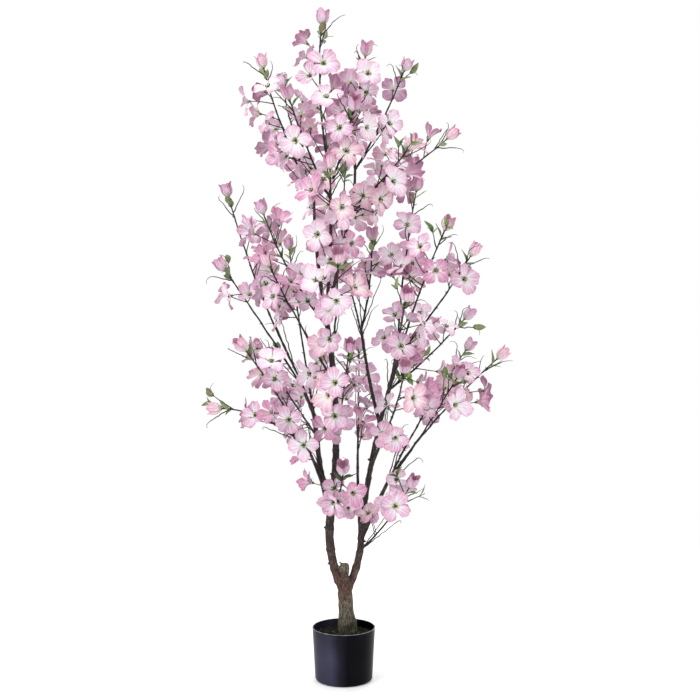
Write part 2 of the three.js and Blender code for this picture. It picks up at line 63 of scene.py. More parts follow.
# name: (parent, fraction of its length, span, bow, radii)
BOUGHS = {
    "left_stem": ("trunk", 0.85, (-40.6, -10, 225), (-17, 0, -4), (12.5, 11.8)),
    "right_stem": ("trunk", 0.85, (43.4, 20, 153), (11, 2, 6), (11.5, 9.8)),
    "left_leader": ("left_stem", 1, (-13, -45, 560), (22, -12, -10), (10.2, 7.4)),
    "left_bough": ("left_stem", 1, (-45, 70, 264), (-6, 0, -6), (8.2, 7)),
    "left_arm": ("left_bough", 0.2, (-50, -65, 150), (3, -2, 0), (4.8, 3.8)),
    "left_arm_up": ("left_bough", 1, (-45, -25, 118), (-1, 2, 0), (5, 4)),
    "upper_left": ("left_leader", 1, (-32, 65, 305), (-6, -12, 0), (6, 4)),
    "upper_front": ("left_leader", 0.99, (10, -25, 385), (9, -18, 0), (5, 3.8)),
    "upper_back": ("left_leader", 0.98, (43, 80, 196), (3, -5, 0), (5, 4.5)),
    "top_back": ("upper_back", 1, (28, 50, 298), (19, 10, 0), (4.5, 3.5)),
    "right_leader": ("right_stem", 1, (108, -50, 523), (-16, 10, 0), (8.8, 4.8)),
    "centre_bough": ("right_stem", 0.95, (-8, 110, 228), (-3, 0, 0), (5, 3.8)),
    "right_arm": ("right_stem", 1, (78, 25, 160), (0, -2, 0), (6.8, 5)),
    "right_spur": ("right_leader", 0.36, (36, -90, 110), (-1, 0, 0), (4.4, 3.8)),
    "back_bough": ("right_leader", 0.62, (-50, 95, 255), (-4, 8, -6), (5.2, 4)),
}

# name: (parent, fraction of its length, span, bow, most twigs if few)
SPRAYS = {
    "low_left": ("left_arm", 1, (-225, -35, 105), (-6, -10, 26)),
    "low_left_front": ("left_arm", 0.78, (-163, -170, 298), (10, -20, 5)),
    "low_left_back": ("left_bough", 0.82, (-165, 165, 225), (-5, 20, 0)),
    "low_front": ("left_leader", 0.42, (35, -240, 240), (0, -10, -10)),
    "low_mid": ("left_leader", 0.12, (-85, -20, 150), (0, -10, 0), 3),
    "low_centre": ("centre_bough", 1, (5, 110, 285), (0, 12, 0)),
    "low_right_front": ("right_spur", 1, (45, -220, 190), (6, -14, 0)),
    "low_right": ("right_arm", 1, (300, -5, 340), (-22, 0, -4)),
    "low_right_mid": ("right_arm", 0.93, (180, -165, 310), (0, -10, -6)),
    "low_right_back": ("right_arm", 0.86, (240, 180, 375), (-10, 14, 0)),
    "low_spur": ("right_stem", 0.75, (130, -135, 200), (4, -6, -8), 3),
    "low_foot": ("left_leader", 0.03, (32, -130, 120), (6, -6, -4), 3),
    "mid_left": ("left_arm_up", 0.7, (-212, -22, 325), (-8, 0, 18)),
    "mid_left_top": ("left_arm_up", 1, (-187, -38, 490), (-14, 0, 0)),
    "mid_back_left": ("left_bough", 0.97, (-80, 190, 480), (-4, 20, 0)),
    "mid_front": ("left_leader", 0.8, (20, -275, 250), (4, -14, 0)),
    "mid_centre": ("back_bough", 1, (30, 15, 250), (8, 0, 0)),
    "mid_back": ("back_bough", 0.9, (-50, 225, 220), (0, 22, 0)),
    "mid_right_low": ("right_leader", 0.8, (215, 110, 190), (0, 4, -10)),
    "mid_right": ("right_leader", 1, (185, -30, 260), (0, -6, -10)),
    "mid_right_top": ("right_leader", 0.94, (115, -167, 355), (-8, -8, 0)),
    "mid_right_in": ("right_leader", 0.93, (55, 45, 475), (-8, 6, 0)),
    "mid_front_right": ("right_leader", 0.78, (35, -300, 260), (0, -16, 0)),
    "top_left": ("upper_left", 1, (-135, -10, 355), (-14, 0, 8)),
    "top_left_back": ("upper_left", 0.92, (-95, 220, 360), (-6, 18, 0)),
    "top_front_left": ("upper_front", 0.8, (-100, -155, 240), (-6, -16, 0)),
    "top": ("upper_front", 1, (-20, 20, 385), (-14, 0, 0)),
    "top_mid": ("top_back", 1, (35, -75, 210), (0, 0, 0)),
    "top_back_left": ("top_back", 0.9, (-10, 175, 200), (0, 20, 0)),
    "top_front": ("upper_front", 0.9, (60, -185, 170), (6, -14, 0)),
    "top_right": ("top_back", 0.7, (135, -10, 270), (4, 0, -6)),
    "top_right_low": ("top_back", 0.45, (255, -35, 155), (4, 0, -14)),
    "top_right_front": ("upper_front", 0.62, (200, -95, 190), (4, -10, -10)),
    "top_right_back": ("top_back", 0.3, (160, 200, 190), (4, 14, -10)),
    "upper_side": ("left_leader", 0.93, (-165, -95, 300), (-16, -14, 0)),
    "mid_left_front": ("left_leader", 0.68, (-165, -130, 310), (-4, -16, 0)),
    "upper_middle": ("upper_front", 0.3, (5, -200, 255), (4, -16, -6)),
    "upper_rear": ("upper_back", 0.9, (10, 285, 245), (0, 20, -6)),
}
# A rule for twigs: how many are tried and kept, where on the stem, their angles and sizes. The
# spread and the turn carry each on from the last, along the stem and round it, and the step
# keeps the rows of numbers apart.
TWIG = Values(
    tries=160, most=7, first=0.08, last=0.78, splay=(0.66, 1.19), length=(45, 95), radius=(40, 49),
    spread=0.755, turn=2.39996, step=1000,
)
# how far a bloom faces along its twig, off the stem, out of the crown and up, and how it strays
FACING = Values(along=0.9, off=0.5, out=0.5, up=0.25, stray=(-0.45, 0.45), least=0.55)
# a bloom's hollow, how far out its petals meet, the angle of their corners, and the room it keeps
BLOOM = Values(cup=(0.18, 0.5), waist=0.46, lobe=0.48, apart=3.5, petals=4)
LEAF = Values(length=44, width=19, below=20, apart=9, open=0.75, shrink=0.15)
MARGIN = 2.2
LIMB_CLEARANCE = 3
JUST_CLEAR = 1
FAR = 110  # blooms with their middles further apart can't touch
AXIS = np.array([20.0, 0.0, 0.0])

# The sky that shows through the crown to an eye in front of it, at the trunk's depth:
# middle across and up, half width and half height.
EYE = np.array([17.0, -3400.0, 1114.0])
SKY = {
    "left_top": (-190, 1760, 50, 60),
    "top_notch": (30, 1735, 50, 40),
    "left_shoulder": (-170, 1580, 30, 35),
    "right_shoulder": (200, 1570, 62, 52),
    "right_brow": (290, 1440, 45, 60),
    "left_waist": (-235, 1385, 95, 42),
    "upper_heart": (-5, 1370, 22, 35),
    "right_waist": (265, 1300, 62, 75),
    "right_slit": (85, 1215, 22, 28),
    "right_tip": (340, 1190, 40, 50),
    "left_edge": (-320, 1200, 50, 38),
    "left_hollow": (-262, 992, 68, 42),
    "left_inner": (-135, 945, 52, 40),
    "heart": (22, 1008, 34, 36),
    "right_heart": (85, 1035, 34, 72),
    "right_gap": (247, 1048, 22, 32),
    "right_hollow": (262, 918, 34, 30),
    "right_edge": (365, 1000, 60, 90),
    "left_low": (-330, 820, 80, 75),
    "low_slit": (140, 825, 20, 38),
    "lower_slit": (160, 722, 25, 18),
    "right_low": (310, 680, 90, 55),
    "right_foot": (235, 625, 55, 48),
    "right_stems": (110, 625, 38, 26),
    "stems": (12, 605, 22, 50),
    "left_foot": (-220, 580, 90, 85),
    "left_under": (-260, 675, 90, 30),
    "left_base": (-60, 430, 80, 45),
    "right_base": (150, 380, 80, 70),
    "right_corner": (250, 490, 60, 45),
}
OVERHANG = 0.6  # the part of a bloom's radius that keeps out of the sky
SPINE_STEPS = 8

# ---- what is finer here
STEM = Values(
    radii=(3.1, 1.7), step=7, sway=1.6, wave=34, first=(12, 25), apart=(20, 42), end=12,
    bulge=0.3, half=4, stubs=0.8, green=0.55,
)
TWIG_RADIUS = 1.5
# A limb's rings, the lumps and ridges of its skin, how deep its foot is sunk, and the grid of its
# bark. Then how the trunk narrows at its fork, a joint's swelling, the nodes, and the stubs there.
SKIN = Values(step=3.5, sides=16, trunk_sides=24, lumps=0.07, ridges=0.05, sunk=4, voxel=1.5)
FORK = Values(above=0.86, taper=0.35)
JOINT = Values(swell=0.22, fade=14)
NODE = Values(first=(25, 45), apart=(28, 60), end=15, bulge=0.13, trunk_bulge=0.03, half=5)
RELIEF = Values(trunk=0.75, boughs=0.4)
STUB = Values(share=0.75, reach=(2.5, 4, 7, 11), odds=(0.35, 0.35, 0.2, 0.1), size=0.42, most=2.6)
# the largest nubs of a limb: fraction of its length, direction
NUBS = {
    "left_stem": [(0.84, (-1, -0.2, 0.3)), (0.4, (-0.9, -0.4, 0.2))],
    "right_stem": [(0.93, (1, -0.3, 0.2))],
    "left_leader": [(0.03, (-1, -0.3, 0.2)), (0.05, (0.9, -0.4, 0.3)), (0.24, (1, -0.3, 0.5))],
    "left_bough": [(0.5, (-1, -0.4, 0.4))],
    "right_leader": [(0.18, (1, -0.5, 0.4)), (0.42, (-1, -0.3, 0.5))],
}
PETAL = Values(rows=9, columns=9, thick=0.5, root=0.06, end=(0.92, 1.04), width=(0.39, 0.48))
# fractions of the length, and how wide it is there
PETAL_WIDTH = ((0, 0.12, 0.25, 0.45, 0.62, 0.78, 0.9, 1), (0.22, 0.3, 0.44, 0.72, 0.92, 1, 0.97, 0.8))
BUD_WIDTH = ((0, 0.1, 0.25, 0.45, 0.65, 0.85, 1), (2.5, 8, 13, 15.6, 15.2, 13.2, 12.4))
BUD_THICK, LEAF_THICK = 0.6, 0.4
STAMENS = 12
PETAL_PIECES = 3
HALF_SHUT = 0.12  # the share of the blooms
TONES = 4  # of the blossom and of the leaves, with as many backs after them
PETAL_SHARES, LEAF_SHARES = (0.34, 0.33, 0.13, 0.2), (0.45, 0.25, 0.25, 0.05)
DEEPEST = 2
LATE = Values(
    tries=60, most=2, first=0.04, last=0.8, splay=(0.45, 1.25), length=(28, 80), radius=(36, 46),
    apart=1, step=10000,
)
FINER = Values(
    tries=24, most=3, stretch=(0.94, 0.2), splay=(0.5, 0.85), length=(34, 70),
    apart=30, leafy=0.3, step=1000,
)
SHOOTS = Values(
    tries=40, most=2, stretch=(0.01, 0.5), splay=(0.14, 0.34), length=(90, 170),
    apart=14, leafy=0.1, step=3000,
)
NEARBY = 500  # blooms rooted further from a spray's tip can't meet its twigs


# ---- vectors and curves
def unit(vectors):
    return vectors / norm(vectors, axis=-1, keepdims=True)


def square_to(direction):
    """Two directions square to a third."""
    helper = (0, 0, 1) if abs(direction[2]) < 0.9 else (0, -1, 0)
    across = unit(np.cross(helper, direction))
    return across, np.cross(direction, across)


def between(first, second, angle):
    """The direction at one or more angles from one towards another that is square to it."""
    angle = np.asarray(angle)[..., None]
    return first * np.cos(angle) + second * np.sin(angle)


def around(direction, angle):
    """The direction square to another at an angle about it."""
    return between(*square_to(direction), angle)


def ring_angles(sides):
    return np.arange(sides) * TURN / sides


def column(first, last, count):
    return np.linspace(first, last, count)[:, None]


def line(root, direction, distances):
    """Points of a straight line."""
    return root + np.outer(distances, direction)


def curve_from(start, span, bow):
    start = np.array(start, float)
    end = start + span
    return start, (start + end) / 2 + 2 * np.array(bow, float), end


def along(curve, t):
    """Points of a curve at one or more fractions."""
    a, b, c = curve
    t = np.asarray(t, float)[..., None]
    return (1 - t) ** 2 * a + 2 * (1 - t) * t * b + t**2 * c


def tangent(curve, t):
    low, high = max(0, t - 1e-4), min(1, t + 1e-4)
    return unit(along(curve, high) - along(curve, low))


def length_of(curve, at):
    """A curve's length by its points at some fractions."""
    return norm(np.diff(along(curve, at), axis=0), axis=1).sum()


MODULUS = 2**31 - 1  # of the rows of numbers


def stream(seed):
    """The solids' row of numbers from a seed."""
    state = seed * 48271 % MODULUS

    def draw(low=0.0, high=1.0):
        nonlocal state
        state = state * 16807 % MODULUS
        return low + (high - low) * state / MODULUS

    draw()
    draw()
    return draw


CELL_FACTORS = np.array([374761393, 668265263, 1274126177])


def noise(points, seed=0):
    """Smooth noise from -1 to 1, with cells one unit wide."""
    base = np.floor(points).astype(np.int64)
    part = points - base
    part = part * part * (3 - 2 * part)
    total = np.zeros(points.shape[:-1])
    for corner in itertools.product((0, 1), repeat=3):
        mixed = (((base + corner) * CELL_FACTORS).sum(-1) + seed * 362437) & 0xFFFFFFFF
        mixed = ((mixed ^ (mixed >> 13)) * 1103515245) & 0xFFFFFFFF
        value = (mixed ^ (mixed >> 16)) / 2**31 - 1
        total += value * np.where(corner, part, 1 - part).prod(-1)
    return total


# ---- the growing rule
curves = {"trunk": curve_from(TRUNK.foot, TRUNK.span, TRUNK.bow)}
for name, (parent, at, span, bow, *_) in [*BOUGHS.items(), *SPRAYS.items()]:
    curves[name] = curve_from(along(curves[parent], at), span, bow)

spine_at = np.linspace(0, 1, SPINE_STEPS + 1)
spray_names = list(SPRAYS)
spray_spines = np.array([along(curves[name], spine_at) for name in spray_names])
limb_spines = np.array([along(curves[name], spine_at) for name in ["trunk", *BOUGHS]])
limb_thick = np.array([TRUNK.radii[0], *(bough[4][0] for bough in BOUGHS.values())])


def seed_of(name):
    """A spray's seed is its place in the list."""
    return spray_names.index(name) + 1


def distances(points, spines):
    """From each point to each spine."""
    starts, ends = spines[:, :-1], spines[:, 1:]
    edges = ends - starts
    offsets = points[:, None, None] - starts
    t = (offsets * edges).sum(-1) / (edges * edges).sum(-1)
    gaps = offsets - np.clip(t, 0, 1)[..., None] * edges
    return norm(gaps, axis=-1).min(-1)


def clear_of(points, spines, gaps):
    """Whether all the points are further from the spines than the gaps."""
    return bool((distances(points, spines) > gaps).all())


def fits(points, name):
    """Whether all the points are clear of the limbs and nearer to their own spray's stem."""
    if not clear_of(points, limb_spines, limb_thick + LIMB_CLEARANCE):
        return False
    gaps = distances(points, spray_spines)
    own = spray_names.index(name)
    return bool((np.delete(gaps, own, 1) > gaps[:, own : own + 1] + MARGIN).all())


def roomy(points, name):
    """Whether all the points are just clear of the limbs and of the other sprays' stems."""
    if not clear_of(points, limb_spines, limb_thick + JUST_CLEAR):
        return False
    others = np.delete(spray_spines, spray_names.index(name), 0)
    return clear_of(points, others, STEM.radii[0] + JUST_CLEAR)


def touches(points, bloom, apart=BLOOM.apart):
    """Whether any of the points lies in a bloom's bowl or just off it."""
    offsets = points - bloom.centre
    height = offsets @ bloom.normal
    reach = norm(offsets - height[:, None] * bloom.normal, axis=1)
    near = np.abs(height - bloom.cup * reach) < apart
    return bool((near & (reach < bloom.radius + apart)).any())


def crowded(bloom, blooms, apart):
    """Whether a bloom touches any of the others."""
    points = bloom_points(bloom)
    near = [other for other in blooms if np.abs(other.centre - bloom.centre).max() < FAR]
    return any(touches(points, other, apart) or touches(bloom_points(other), bloom, apart) for other in near)


def over_sky(bloom):
    """Whether a bloom hangs before or behind one of the openings."""
    sight = bloom.centre - EYE
    across, _, up = EYE - sight * EYE[1] / sight[1]
    keep = OVERHANG * bloom.radius
    spots = SKY.values()
    return any(math.hypot((across - x) / (w + keep), (up - z) / (h + keep)) < 1 for x, z, w, h in spots)


def bloom_points(bloom):
    """A bloom's middle, its stalk, and its rim out to the petals' corners."""
    rim = []
    for petal in range(BLOOM.petals):
        middle = petal * TURN / BLOOM.petals
        corners = (middle - TURN / 8, BLOOM.waist), (middle - BLOOM.lobe, 1), (middle + BLOOM.lobe, 1)
        for angle, reach in corners:
            out = between(bloom.across, bloom.along, angle)
            rim.append(bloom.centre + bloom.radius * reach * (out + bloom.normal * bloom.cup))
    rim = np.array(rim)
    stalk = line(bloom.root, bloom.centre - bloom.root, (0.45, 0.65, 0.85))
    return np.vstack([bloom.centre[None], stalk, rim, rim + 0.4 * (bloom.centre - rim)])


def candidate(name, k, rule):
    """One twig that might grow on a stem, with the bloom at its end."""
    seed = seed_of(name)
    draw = stream(seed * rule.step + k + 1)
    t = rule.first + (rule.last - rule.first) * (TWIG.spread * (k + seed) % 1)
    root, heading = along(curves[name], t), tangent(curves[name], t)
    radial = around(heading, TWIG.turn * k + draw(-0.4, 0.4) + seed)
    direction = between(heading, radial, draw(*rule.splay))
    length = draw(*rule.length) * (1 - 0.3 * t)
    centre = root + direction * length
    outward = unit((centre - AXIS) * (1, 1, 0))
    normal = FACING.along * direction + FACING.off * radial + FACING.out * outward + (0, 0, FACING.up)
    normal = unit(normal + [draw(*FACING.stray) for _ in range(3)])
    normal = unit(normal + direction * max(0, FACING.least - normal @ direction))
    petal = around(normal, draw(0, TURN / BLOOM.petals))
    return Values(
        root=root, direction=direction, length=length, centre=centre, normal=normal, across=petal,
        along=np.cross(normal, petal), radius=draw(*rule.radius), cup=draw(*BLOOM.cup),
    )


def blade_at(root, direction, side, scale, turned=LEAF.open):
    """A leaf that leaves a twig at an open angle."""
    face = direction * math.sin(turned) - side * math.cos(turned)
    return Values(root=root, heading=between(direction, side, turned), face=face, scale=scale)


def blade_points(blade):
    """A leaf's midrib."""
    return line(blade.root, blade.heading, np.array([0.35, 0.65, 1]) * blade.scale * LEAF.length)


def chosen(name, rule, most, room, others, apart):
    """The first blooms of a rule that find room on a stem."""
    found = []
    for k in range(rule.tries):
        if len(found) == most:
            break
        bloom = candidate(name, k, rule)
        if over_sky(bloom) or not room(bloom_points(bloom), name):
            continue
        if not crowded(bloom, others + found, apart):
            found.append(bloom)
    return found


def grow(name):
    """The blooms and tip leaves of a spray, as in the solids."""
    most = (*SPRAYS[name][4:], TWIG.most)[0]
    blooms = chosen(name, TWIG, most, fits, [], BLOOM.apart)
    tip, heading = along(curves[name], 1), tangent(curves[name], 1)
    leaves = []
    for step in range(2):
        side = around(heading, seed_of(name) + step * math.pi)
        root = tip - heading * (LEAF.below + step * LEAF.apart)
        blade = blade_at(root, heading, side, 1 - LEAF.shrink * step)
        points = blade_points(blade)
        if fits(points, name) and not any(touches(points, bloom) for bloom in blooms):
            leaves.append(blade)
    return Values(blooms=blooms, leaves=leaves, tip=tip, heading=heading)


def grow_late(blooms):
    """Blooms in what room is left near each spray's stem."""
    late = []
    for name in spray_names:
        late += chosen(name, LATE, LATE.most, roomy, blooms + late, LATE.apart)
    return late


def grow_finer(name, blooms, rule):
    """Thin twigs, a few of them leafy, in what room the spray has left."""
    seed = seed_of(name)
    twigs = []
    for k in range(rule.tries):
        if len(twigs) == rule.most:
            break
        draw = stream(seed * rule.step + k + 1)
        start, end = rule.stretch
        t = start + (end - start) * (k + draw(0, 0.8)) / rule.tries
        root, heading = along(curves[name], t), tangent(curves[name], t)
        radial = around(heading, TWIG.turn * k + seed + 1.7)
        direction = between(heading, radial, draw(*rule.splay))
        tip = root + direction * draw(*rule.length)
        side = unit(np.cross(direction, (draw(-1, 1), draw(-1, 1), 0.3)))
        blades = []
        if draw() < rule.leafy:
            blades.append(blade_at(tip, direction, side, draw(0.7, 0.95), draw(0.3, 0.6)))
            blades.append(blade_at(tip - 4 * direction, direction, -side, draw(0.6, 0.85), draw(0.5, 0.9)))
        stalk = line(root, tip - root, (0.4, 0.6, 0.8, 1))
        points = np.vstack([stalk, *(blade_points(blade) for blade in blades)])
        clear = not any(touches(points, bloom) for bloom in blooms)
        clear = clear and all(norm(tip - other.tip) > rule.apart for other in twigs)
        if clear and fits(points, name):
            twigs.append(Values(root=root, tip=tip, direction=direction, side=side, blades=blades))
    return twigs


# ---- meshes
TILES = (4, 2)  # a sheet's materials have a tile each on its map


class Piece:
    """Points and faces gathered for one object."""

    def __init__(self, name, slot, materials, mapped=False):
        self.name, self.slot, self.materials, self.mapped = name, slot, materials, mapped
        self.points, self.faces, self.worn, self.places = [], [], [], []
        self.count = 0

    def add(self, points, faces, material=0, places=None):
        """Adds rows of faces, with a material for all of them or a list with one for each."""
        points = np.asarray(points, float).reshape(-1, 3)
        for index, rows in enumerate(faces):
            self.faces.append(np.asarray(rows) + self.count)
            worn = material[index] if isinstance(material, list) else material
            self.worn.append(np.broadcast_to(worn, len(rows)))
            if places is not None:
                self.places.append(places[index].reshape(-1, 2))
        self.points.append(points)
        self.count += len(points)

    def make(self, sharp=50):
        mesh = bpy.data.meshes.new(self.name)
        points = np.concatenate(self.points) * MM
        corners = np.concatenate([rows.ravel() for rows in self.faces])
        sizes = np.concatenate([np.full(len(rows), rows.shape[1]) for rows in self.faces])
        mesh.vertices.add(len(points))
        mesh.vertices.foreach_set("co", points.ravel())
        mesh.loops.add(len(corners))
        mesh.loops.foreach_set("vertex_index", corners)
        mesh.polygons.add(len(sizes))
        mesh.polygons.foreach_set("loop_start", np.cumsum(sizes) - sizes)
        mesh.polygons.foreach_set("material_index", np.concatenate(self.worn).astype(np.int32))
        if self.mapped:
            layer = mesh.uv_layers.new(name="OFBake")
            layer.data.foreach_set("uv", np.concatenate(self.places).ravel())
        for material in self.materials:
            mesh.materials.append(material)
        mesh.update(calc_edges=True)
        mesh.shade_smooth()
        mesh.set_sharp_from_angle(angle=math.radians(sharp))
        return placed(bpy.data.objects.new(self.name, mesh), self.slot)


def placed(piece, slot):
    """Puts an object in the scene, as a part of the body."""
    bpy.context.scene.collection.objects.link(piece)
    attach(piece, "root")
    return piece


def ring_solid(rings, ends):
    """A closed solid through rings of points, with a point in the middle of each end."""
    count, sides = rings.shape[:2]
    index = np.arange(count * sides).reshape(count, sides)
    after = np.roll(index, -1, 1)
    quads = np.stack([index[:-1], after[:-1], after[1:], index[1:]], -1).reshape(-1, 4)
    low = np.stack([after[0], index[0], np.full(sides, count * sides)], 1)
    high = np.stack([index[-1], after[-1], np.full(sides, count * sides + 1)], 1)
    return np.vstack([rings.reshape(-1, 3), ends]), [quads, np.vstack([low, high])]


def tube(path, radii, sides, reference=None):
    """A closed tube along a path, with a radius for each ring or for each of its points."""
    path = np.asarray(path, float)
    count = len(path)
    heads = unit(np.gradient(path, axis=0))
    if reference is None:
        reference = AXES[np.argmin(np.abs(path[-1] - path[0]))]
    side = unit(np.cross(reference, heads))
    up = np.cross(heads, side)
    radii = np.asarray(radii, float).reshape(count, -1, 1)
    rings = path[:, None] + radii * between(side[:, None], up[:, None], ring_angles(sides))
    return ring_solid(rings, path[[0, -1]])


def sheet_faces(rows, columns):
    """The two sides and the rim of a thin sheet, and each corner's place on a tile."""
    grid = np.arange(rows * columns).reshape(rows, columns)
    front_faces = np.stack([grid[:-1, :-1], grid[1:, :-1], grid[1:, 1:], grid[:-1, 1:]], -1).reshape(-1, 4)
    back_faces = (front_faces + rows * columns)[:, ::-1]
    round_it = np.concatenate([grid[0, :-1], grid[:-1, -1], grid[-1, :0:-1], grid[:0:-1, 0]])
    onward = np.roll(round_it, -1)
    rim_faces = np.stack([round_it, onward, onward + rows * columns, round_it + rows * columns], 1)
    y, x = np.meshgrid(np.linspace(0, 1, rows), np.linspace(0, 1, columns), indexing="ij")
    spots = np.stack([x, y], -1).reshape(-1, 2)
    inner = 0.5 + 0.94 * (spots - 0.5)
    return front_faces, back_faces, rim_faces, np.vstack([spots, spots]), np.vstack([spots, inner])


SHEETS = {}


def add_sheet(piece, grid, thickness, front, back):
    """Adds a thin sheet through a grid of points, with a material for each side."""
    shape = grid.shape[:2]
    if shape not in SHEETS:
        SHEETS[shape] = sheet_faces(*shape)
    front_faces, back_faces, rim_faces, spots, rim_spots = SHEETS[shape]
    normals = unit(np.cross(np.gradient(grid, axis=0), np.gradient(grid, axis=1)))
    half = normals * thickness / 2
    points = np.concatenate([(grid + half).reshape(-1, 3), (grid - half).reshape(-1, 3)])
    faces = np.vstack([front_faces, rim_faces, back_faces])
    tile = np.array([front] * (len(front_faces) + len(rim_faces)) + [back] * len(back_faces))
    places = np.concatenate([spots[front_faces], rim_spots[rim_faces], spots[back_faces]])
    corner = np.stack([tile % TILES[0], tile // TILES[0]], 1)[:, None]
    piece.add(points, [faces], tile, [(corner + 0.02 + 0.96 * places) / TILES])


# ---- materials
def ink(code):
    """A linear colour from the usual six digits."""
    parts = [int(code[i : i + 2], 16) / 255 for i in (0, 2, 4)]
    return (*(p / 12.92 if p <= 0.04045 else ((p + 0.055) / 1.055) ** 2.4 for p in parts), 1.0)


class Shading:
    """Shader nodes that feed one another."""

    def __init__(self, owner):
        owner.use_nodes = True
        self.nodes, self.links = owner.node_tree.nodes, owner.node_tree.links

    def node(self, kind, inputs, **settings):
        made = self.nodes.new("ShaderNode" + kind)
        for key, value in settings.items():
            setattr(made, key, value)
        for key, value in inputs.items():
            self.feed(made.inputs[key], value)
        return made

    def feed(self, socket, value):
        if isinstance(value, bpy.types.NodeSocket):
            self.links.new(value, socket)
        else:
            socket.default_value = value

    def ramp(self, factor, *stops):
        """A smooth row of colours or greys, each given with its place."""
        made = self.node("ValToRGB", {"Fac": factor})
        elements = made.color_ramp.elements
        while len(elements) < len(stops):
            elements.new(0.5)
        for element, (place, colour) in zip(elements, stops):
            element.position = place
            element.color = ink(colour) if isinstance(colour, str) else (colour, colour, colour, 1)
        return made.outputs["Color"]

    def mix(self, factor, first, second, blend="MIX"):
        inputs = {0: factor, 6: first, 7: second}
        return self.node("Mix", inputs, data_type="RGBA", blend_type=blend).outputs[2]


class Look(Shading):
    """A Principled material as it is made."""

    def __init__(self, name, **values):
        self.material = bpy.data.materials.new(name)
        super().__init__(self.material)
        self.shader = self.nodes["Principled BSDF"]
        for key, value in values.items():
            self.shader.inputs[key.replace("_", " ")].default_value = value

    def maths(self, operation, first, second=0.0):
        return self.node("Math", {0: first, 1: second}, operation=operation).outputs[0]

    def plus(self, first, second):
        return self.maths("ADD", first, second)

    def times(self, first, second):
        return self.maths("MULTIPLY", first, second)

    def centred(self, value):
        return self.maths("SUBTRACT", value, 0.5)

    def noise(self, vector, scale, detail=2.0, roughness=0.5):
        inputs = {"Vector": vector, "Scale": scale, "Detail": detail, "Roughness": roughness}
        return self.node("TexNoise", inputs).outputs["Fac"]

    def cover(self, colour, other, factor, *stops, blend="MIX"):
        """A colour under another, which shows as far as a ramp of the factor lets it."""
        if isinstance(other, str):
            other = ink(other)
        return self.mix(self.ramp(factor, *stops), colour, other, blend)

    def stretched(self, vector, scale, shift=(0, 0, 0)):
        inputs = {"Vector": vector, "Scale": scale, "Location": shift}
        return self.node("Mapping", inputs).outputs[0]

    def position(self):
        return self.node("TexCoord", {}).outputs["Object"]

    def tile(self, index):
        """The place on a sheet's own tile, across and along, from 0 to 1."""
        place = self.node("UVMap", {}, uv_map="OFBake").outputs[0]
        shift = (-(index % TILES[0]), -(index // TILES[0]), 0)
        local = self.stretched(place, (*TILES, 1), shift)
        parts = self.node("SeparateXYZ", {0: local}).outputs
        return local, parts[0], parts[1]

    def finish(self, colour, height=None, distance=0.0005, strength=0.5, roughness=None):
        self.feed(self.shader.inputs["Base Color"], colour)
        if roughness is not None:
            self.feed(self.shader.inputs["Roughness"], roughness)
        if height is not None:
            bump = self.node("Bump", {"Strength": strength, "Distance": distance, "Height": height})
            self.feed(self.shader.inputs["Normal"], bump.outputs[0])
        return self.material


def petal_look(name, index, base, pale, middle, edge, streak):
    """Cloth printed from a pale base to a deeper edge, with lengthwise veins."""
    look = Look(name, Roughness=0.65, Sheen_Weight=0.12, Sheen_Roughness=0.5)
    local, across, up = look.tile(index)
    side = look.times(look.maths("ABSOLUTE", look.centred(across)), 2.0)
    cloud = look.noise(look.stretched(local, (3, 1.6, 1), (index * 7.3, 0, 0)), 1.6, 3.0)
    reach = look.plus(up, look.times(look.maths("POWER", side, 3.0), 0.24))
    reach = look.plus(reach, look.times(look.centred(cloud), 0.8))
    colour = look.ramp(reach, (0.07, base), (0.24, pale), (0.6, middle), (0.98, edge))
    veins = look.noise(look.stretched(local, (26, 1.3, 1), (0, index * 3.1, 0)), 1.0, 2.0)
    folds = look.noise(look.stretched(local, (8, 0.9, 1), (index * 2.3, 0, 0)), 1.0, 1.0)
    lines = look.ramp(veins, (0.36, streak), (0.58, "ffffff"))
    colour = look.cover(colour, lines, up, (0.12, 0.12), (0.55, 0.6), blend="MULTIPLY")
    shade = look.ramp(folds, (0.32, streak), (0.6, "ffffff"))
    colour = look.cover(colour, shade, up, (0.12, 0.3), (0.5, 0.95), blend="MULTIPLY")
    return look.finish(colour, look.plus(veins, folds), 0.0008, 0.5)


def leaf_look(name, index, dark, light, rib):
    """A leaf with a paler midrib and side veins."""
    look = Look(name, Roughness=0.5, Sheen_Weight=0.1)
    local, across, up = look.tile(index)
    side = look.maths("ABSOLUTE", look.centred(across))
    slope = look.maths("SUBTRACT", up, look.times(side, 0.5))
    veins = look.maths("SINE", look.times(slope, 52.0))
    colour = look.ramp(look.noise(local, 5.0, 3.0), (0.35, dark), (0.65, light))
    colour = look.cover(colour, rib, veins, (0.75, 0.0), (1.0, 0.35))
    colour = look.cover(colour, rib, side, (0.015, 0.9), (0.06, 0.0))
    return look.finish(colour, veins, 0.0004, 0.3)


def speckled(name, scale, *colours, bump=0.0004, **values):
    """A noise of colours with a grain."""
    look = Look(name, **values)
    place = look.position()
    cloud = look.noise(place, scale, 4.0, 0.6)
    step = 0.4 / (len(colours) - 1)
    colour = look.ramp(cloud, *((0.3 + k * step, code) for k, code in enumerate(colours)))
    return look.finish(colour, cloud, bump, 0.6)


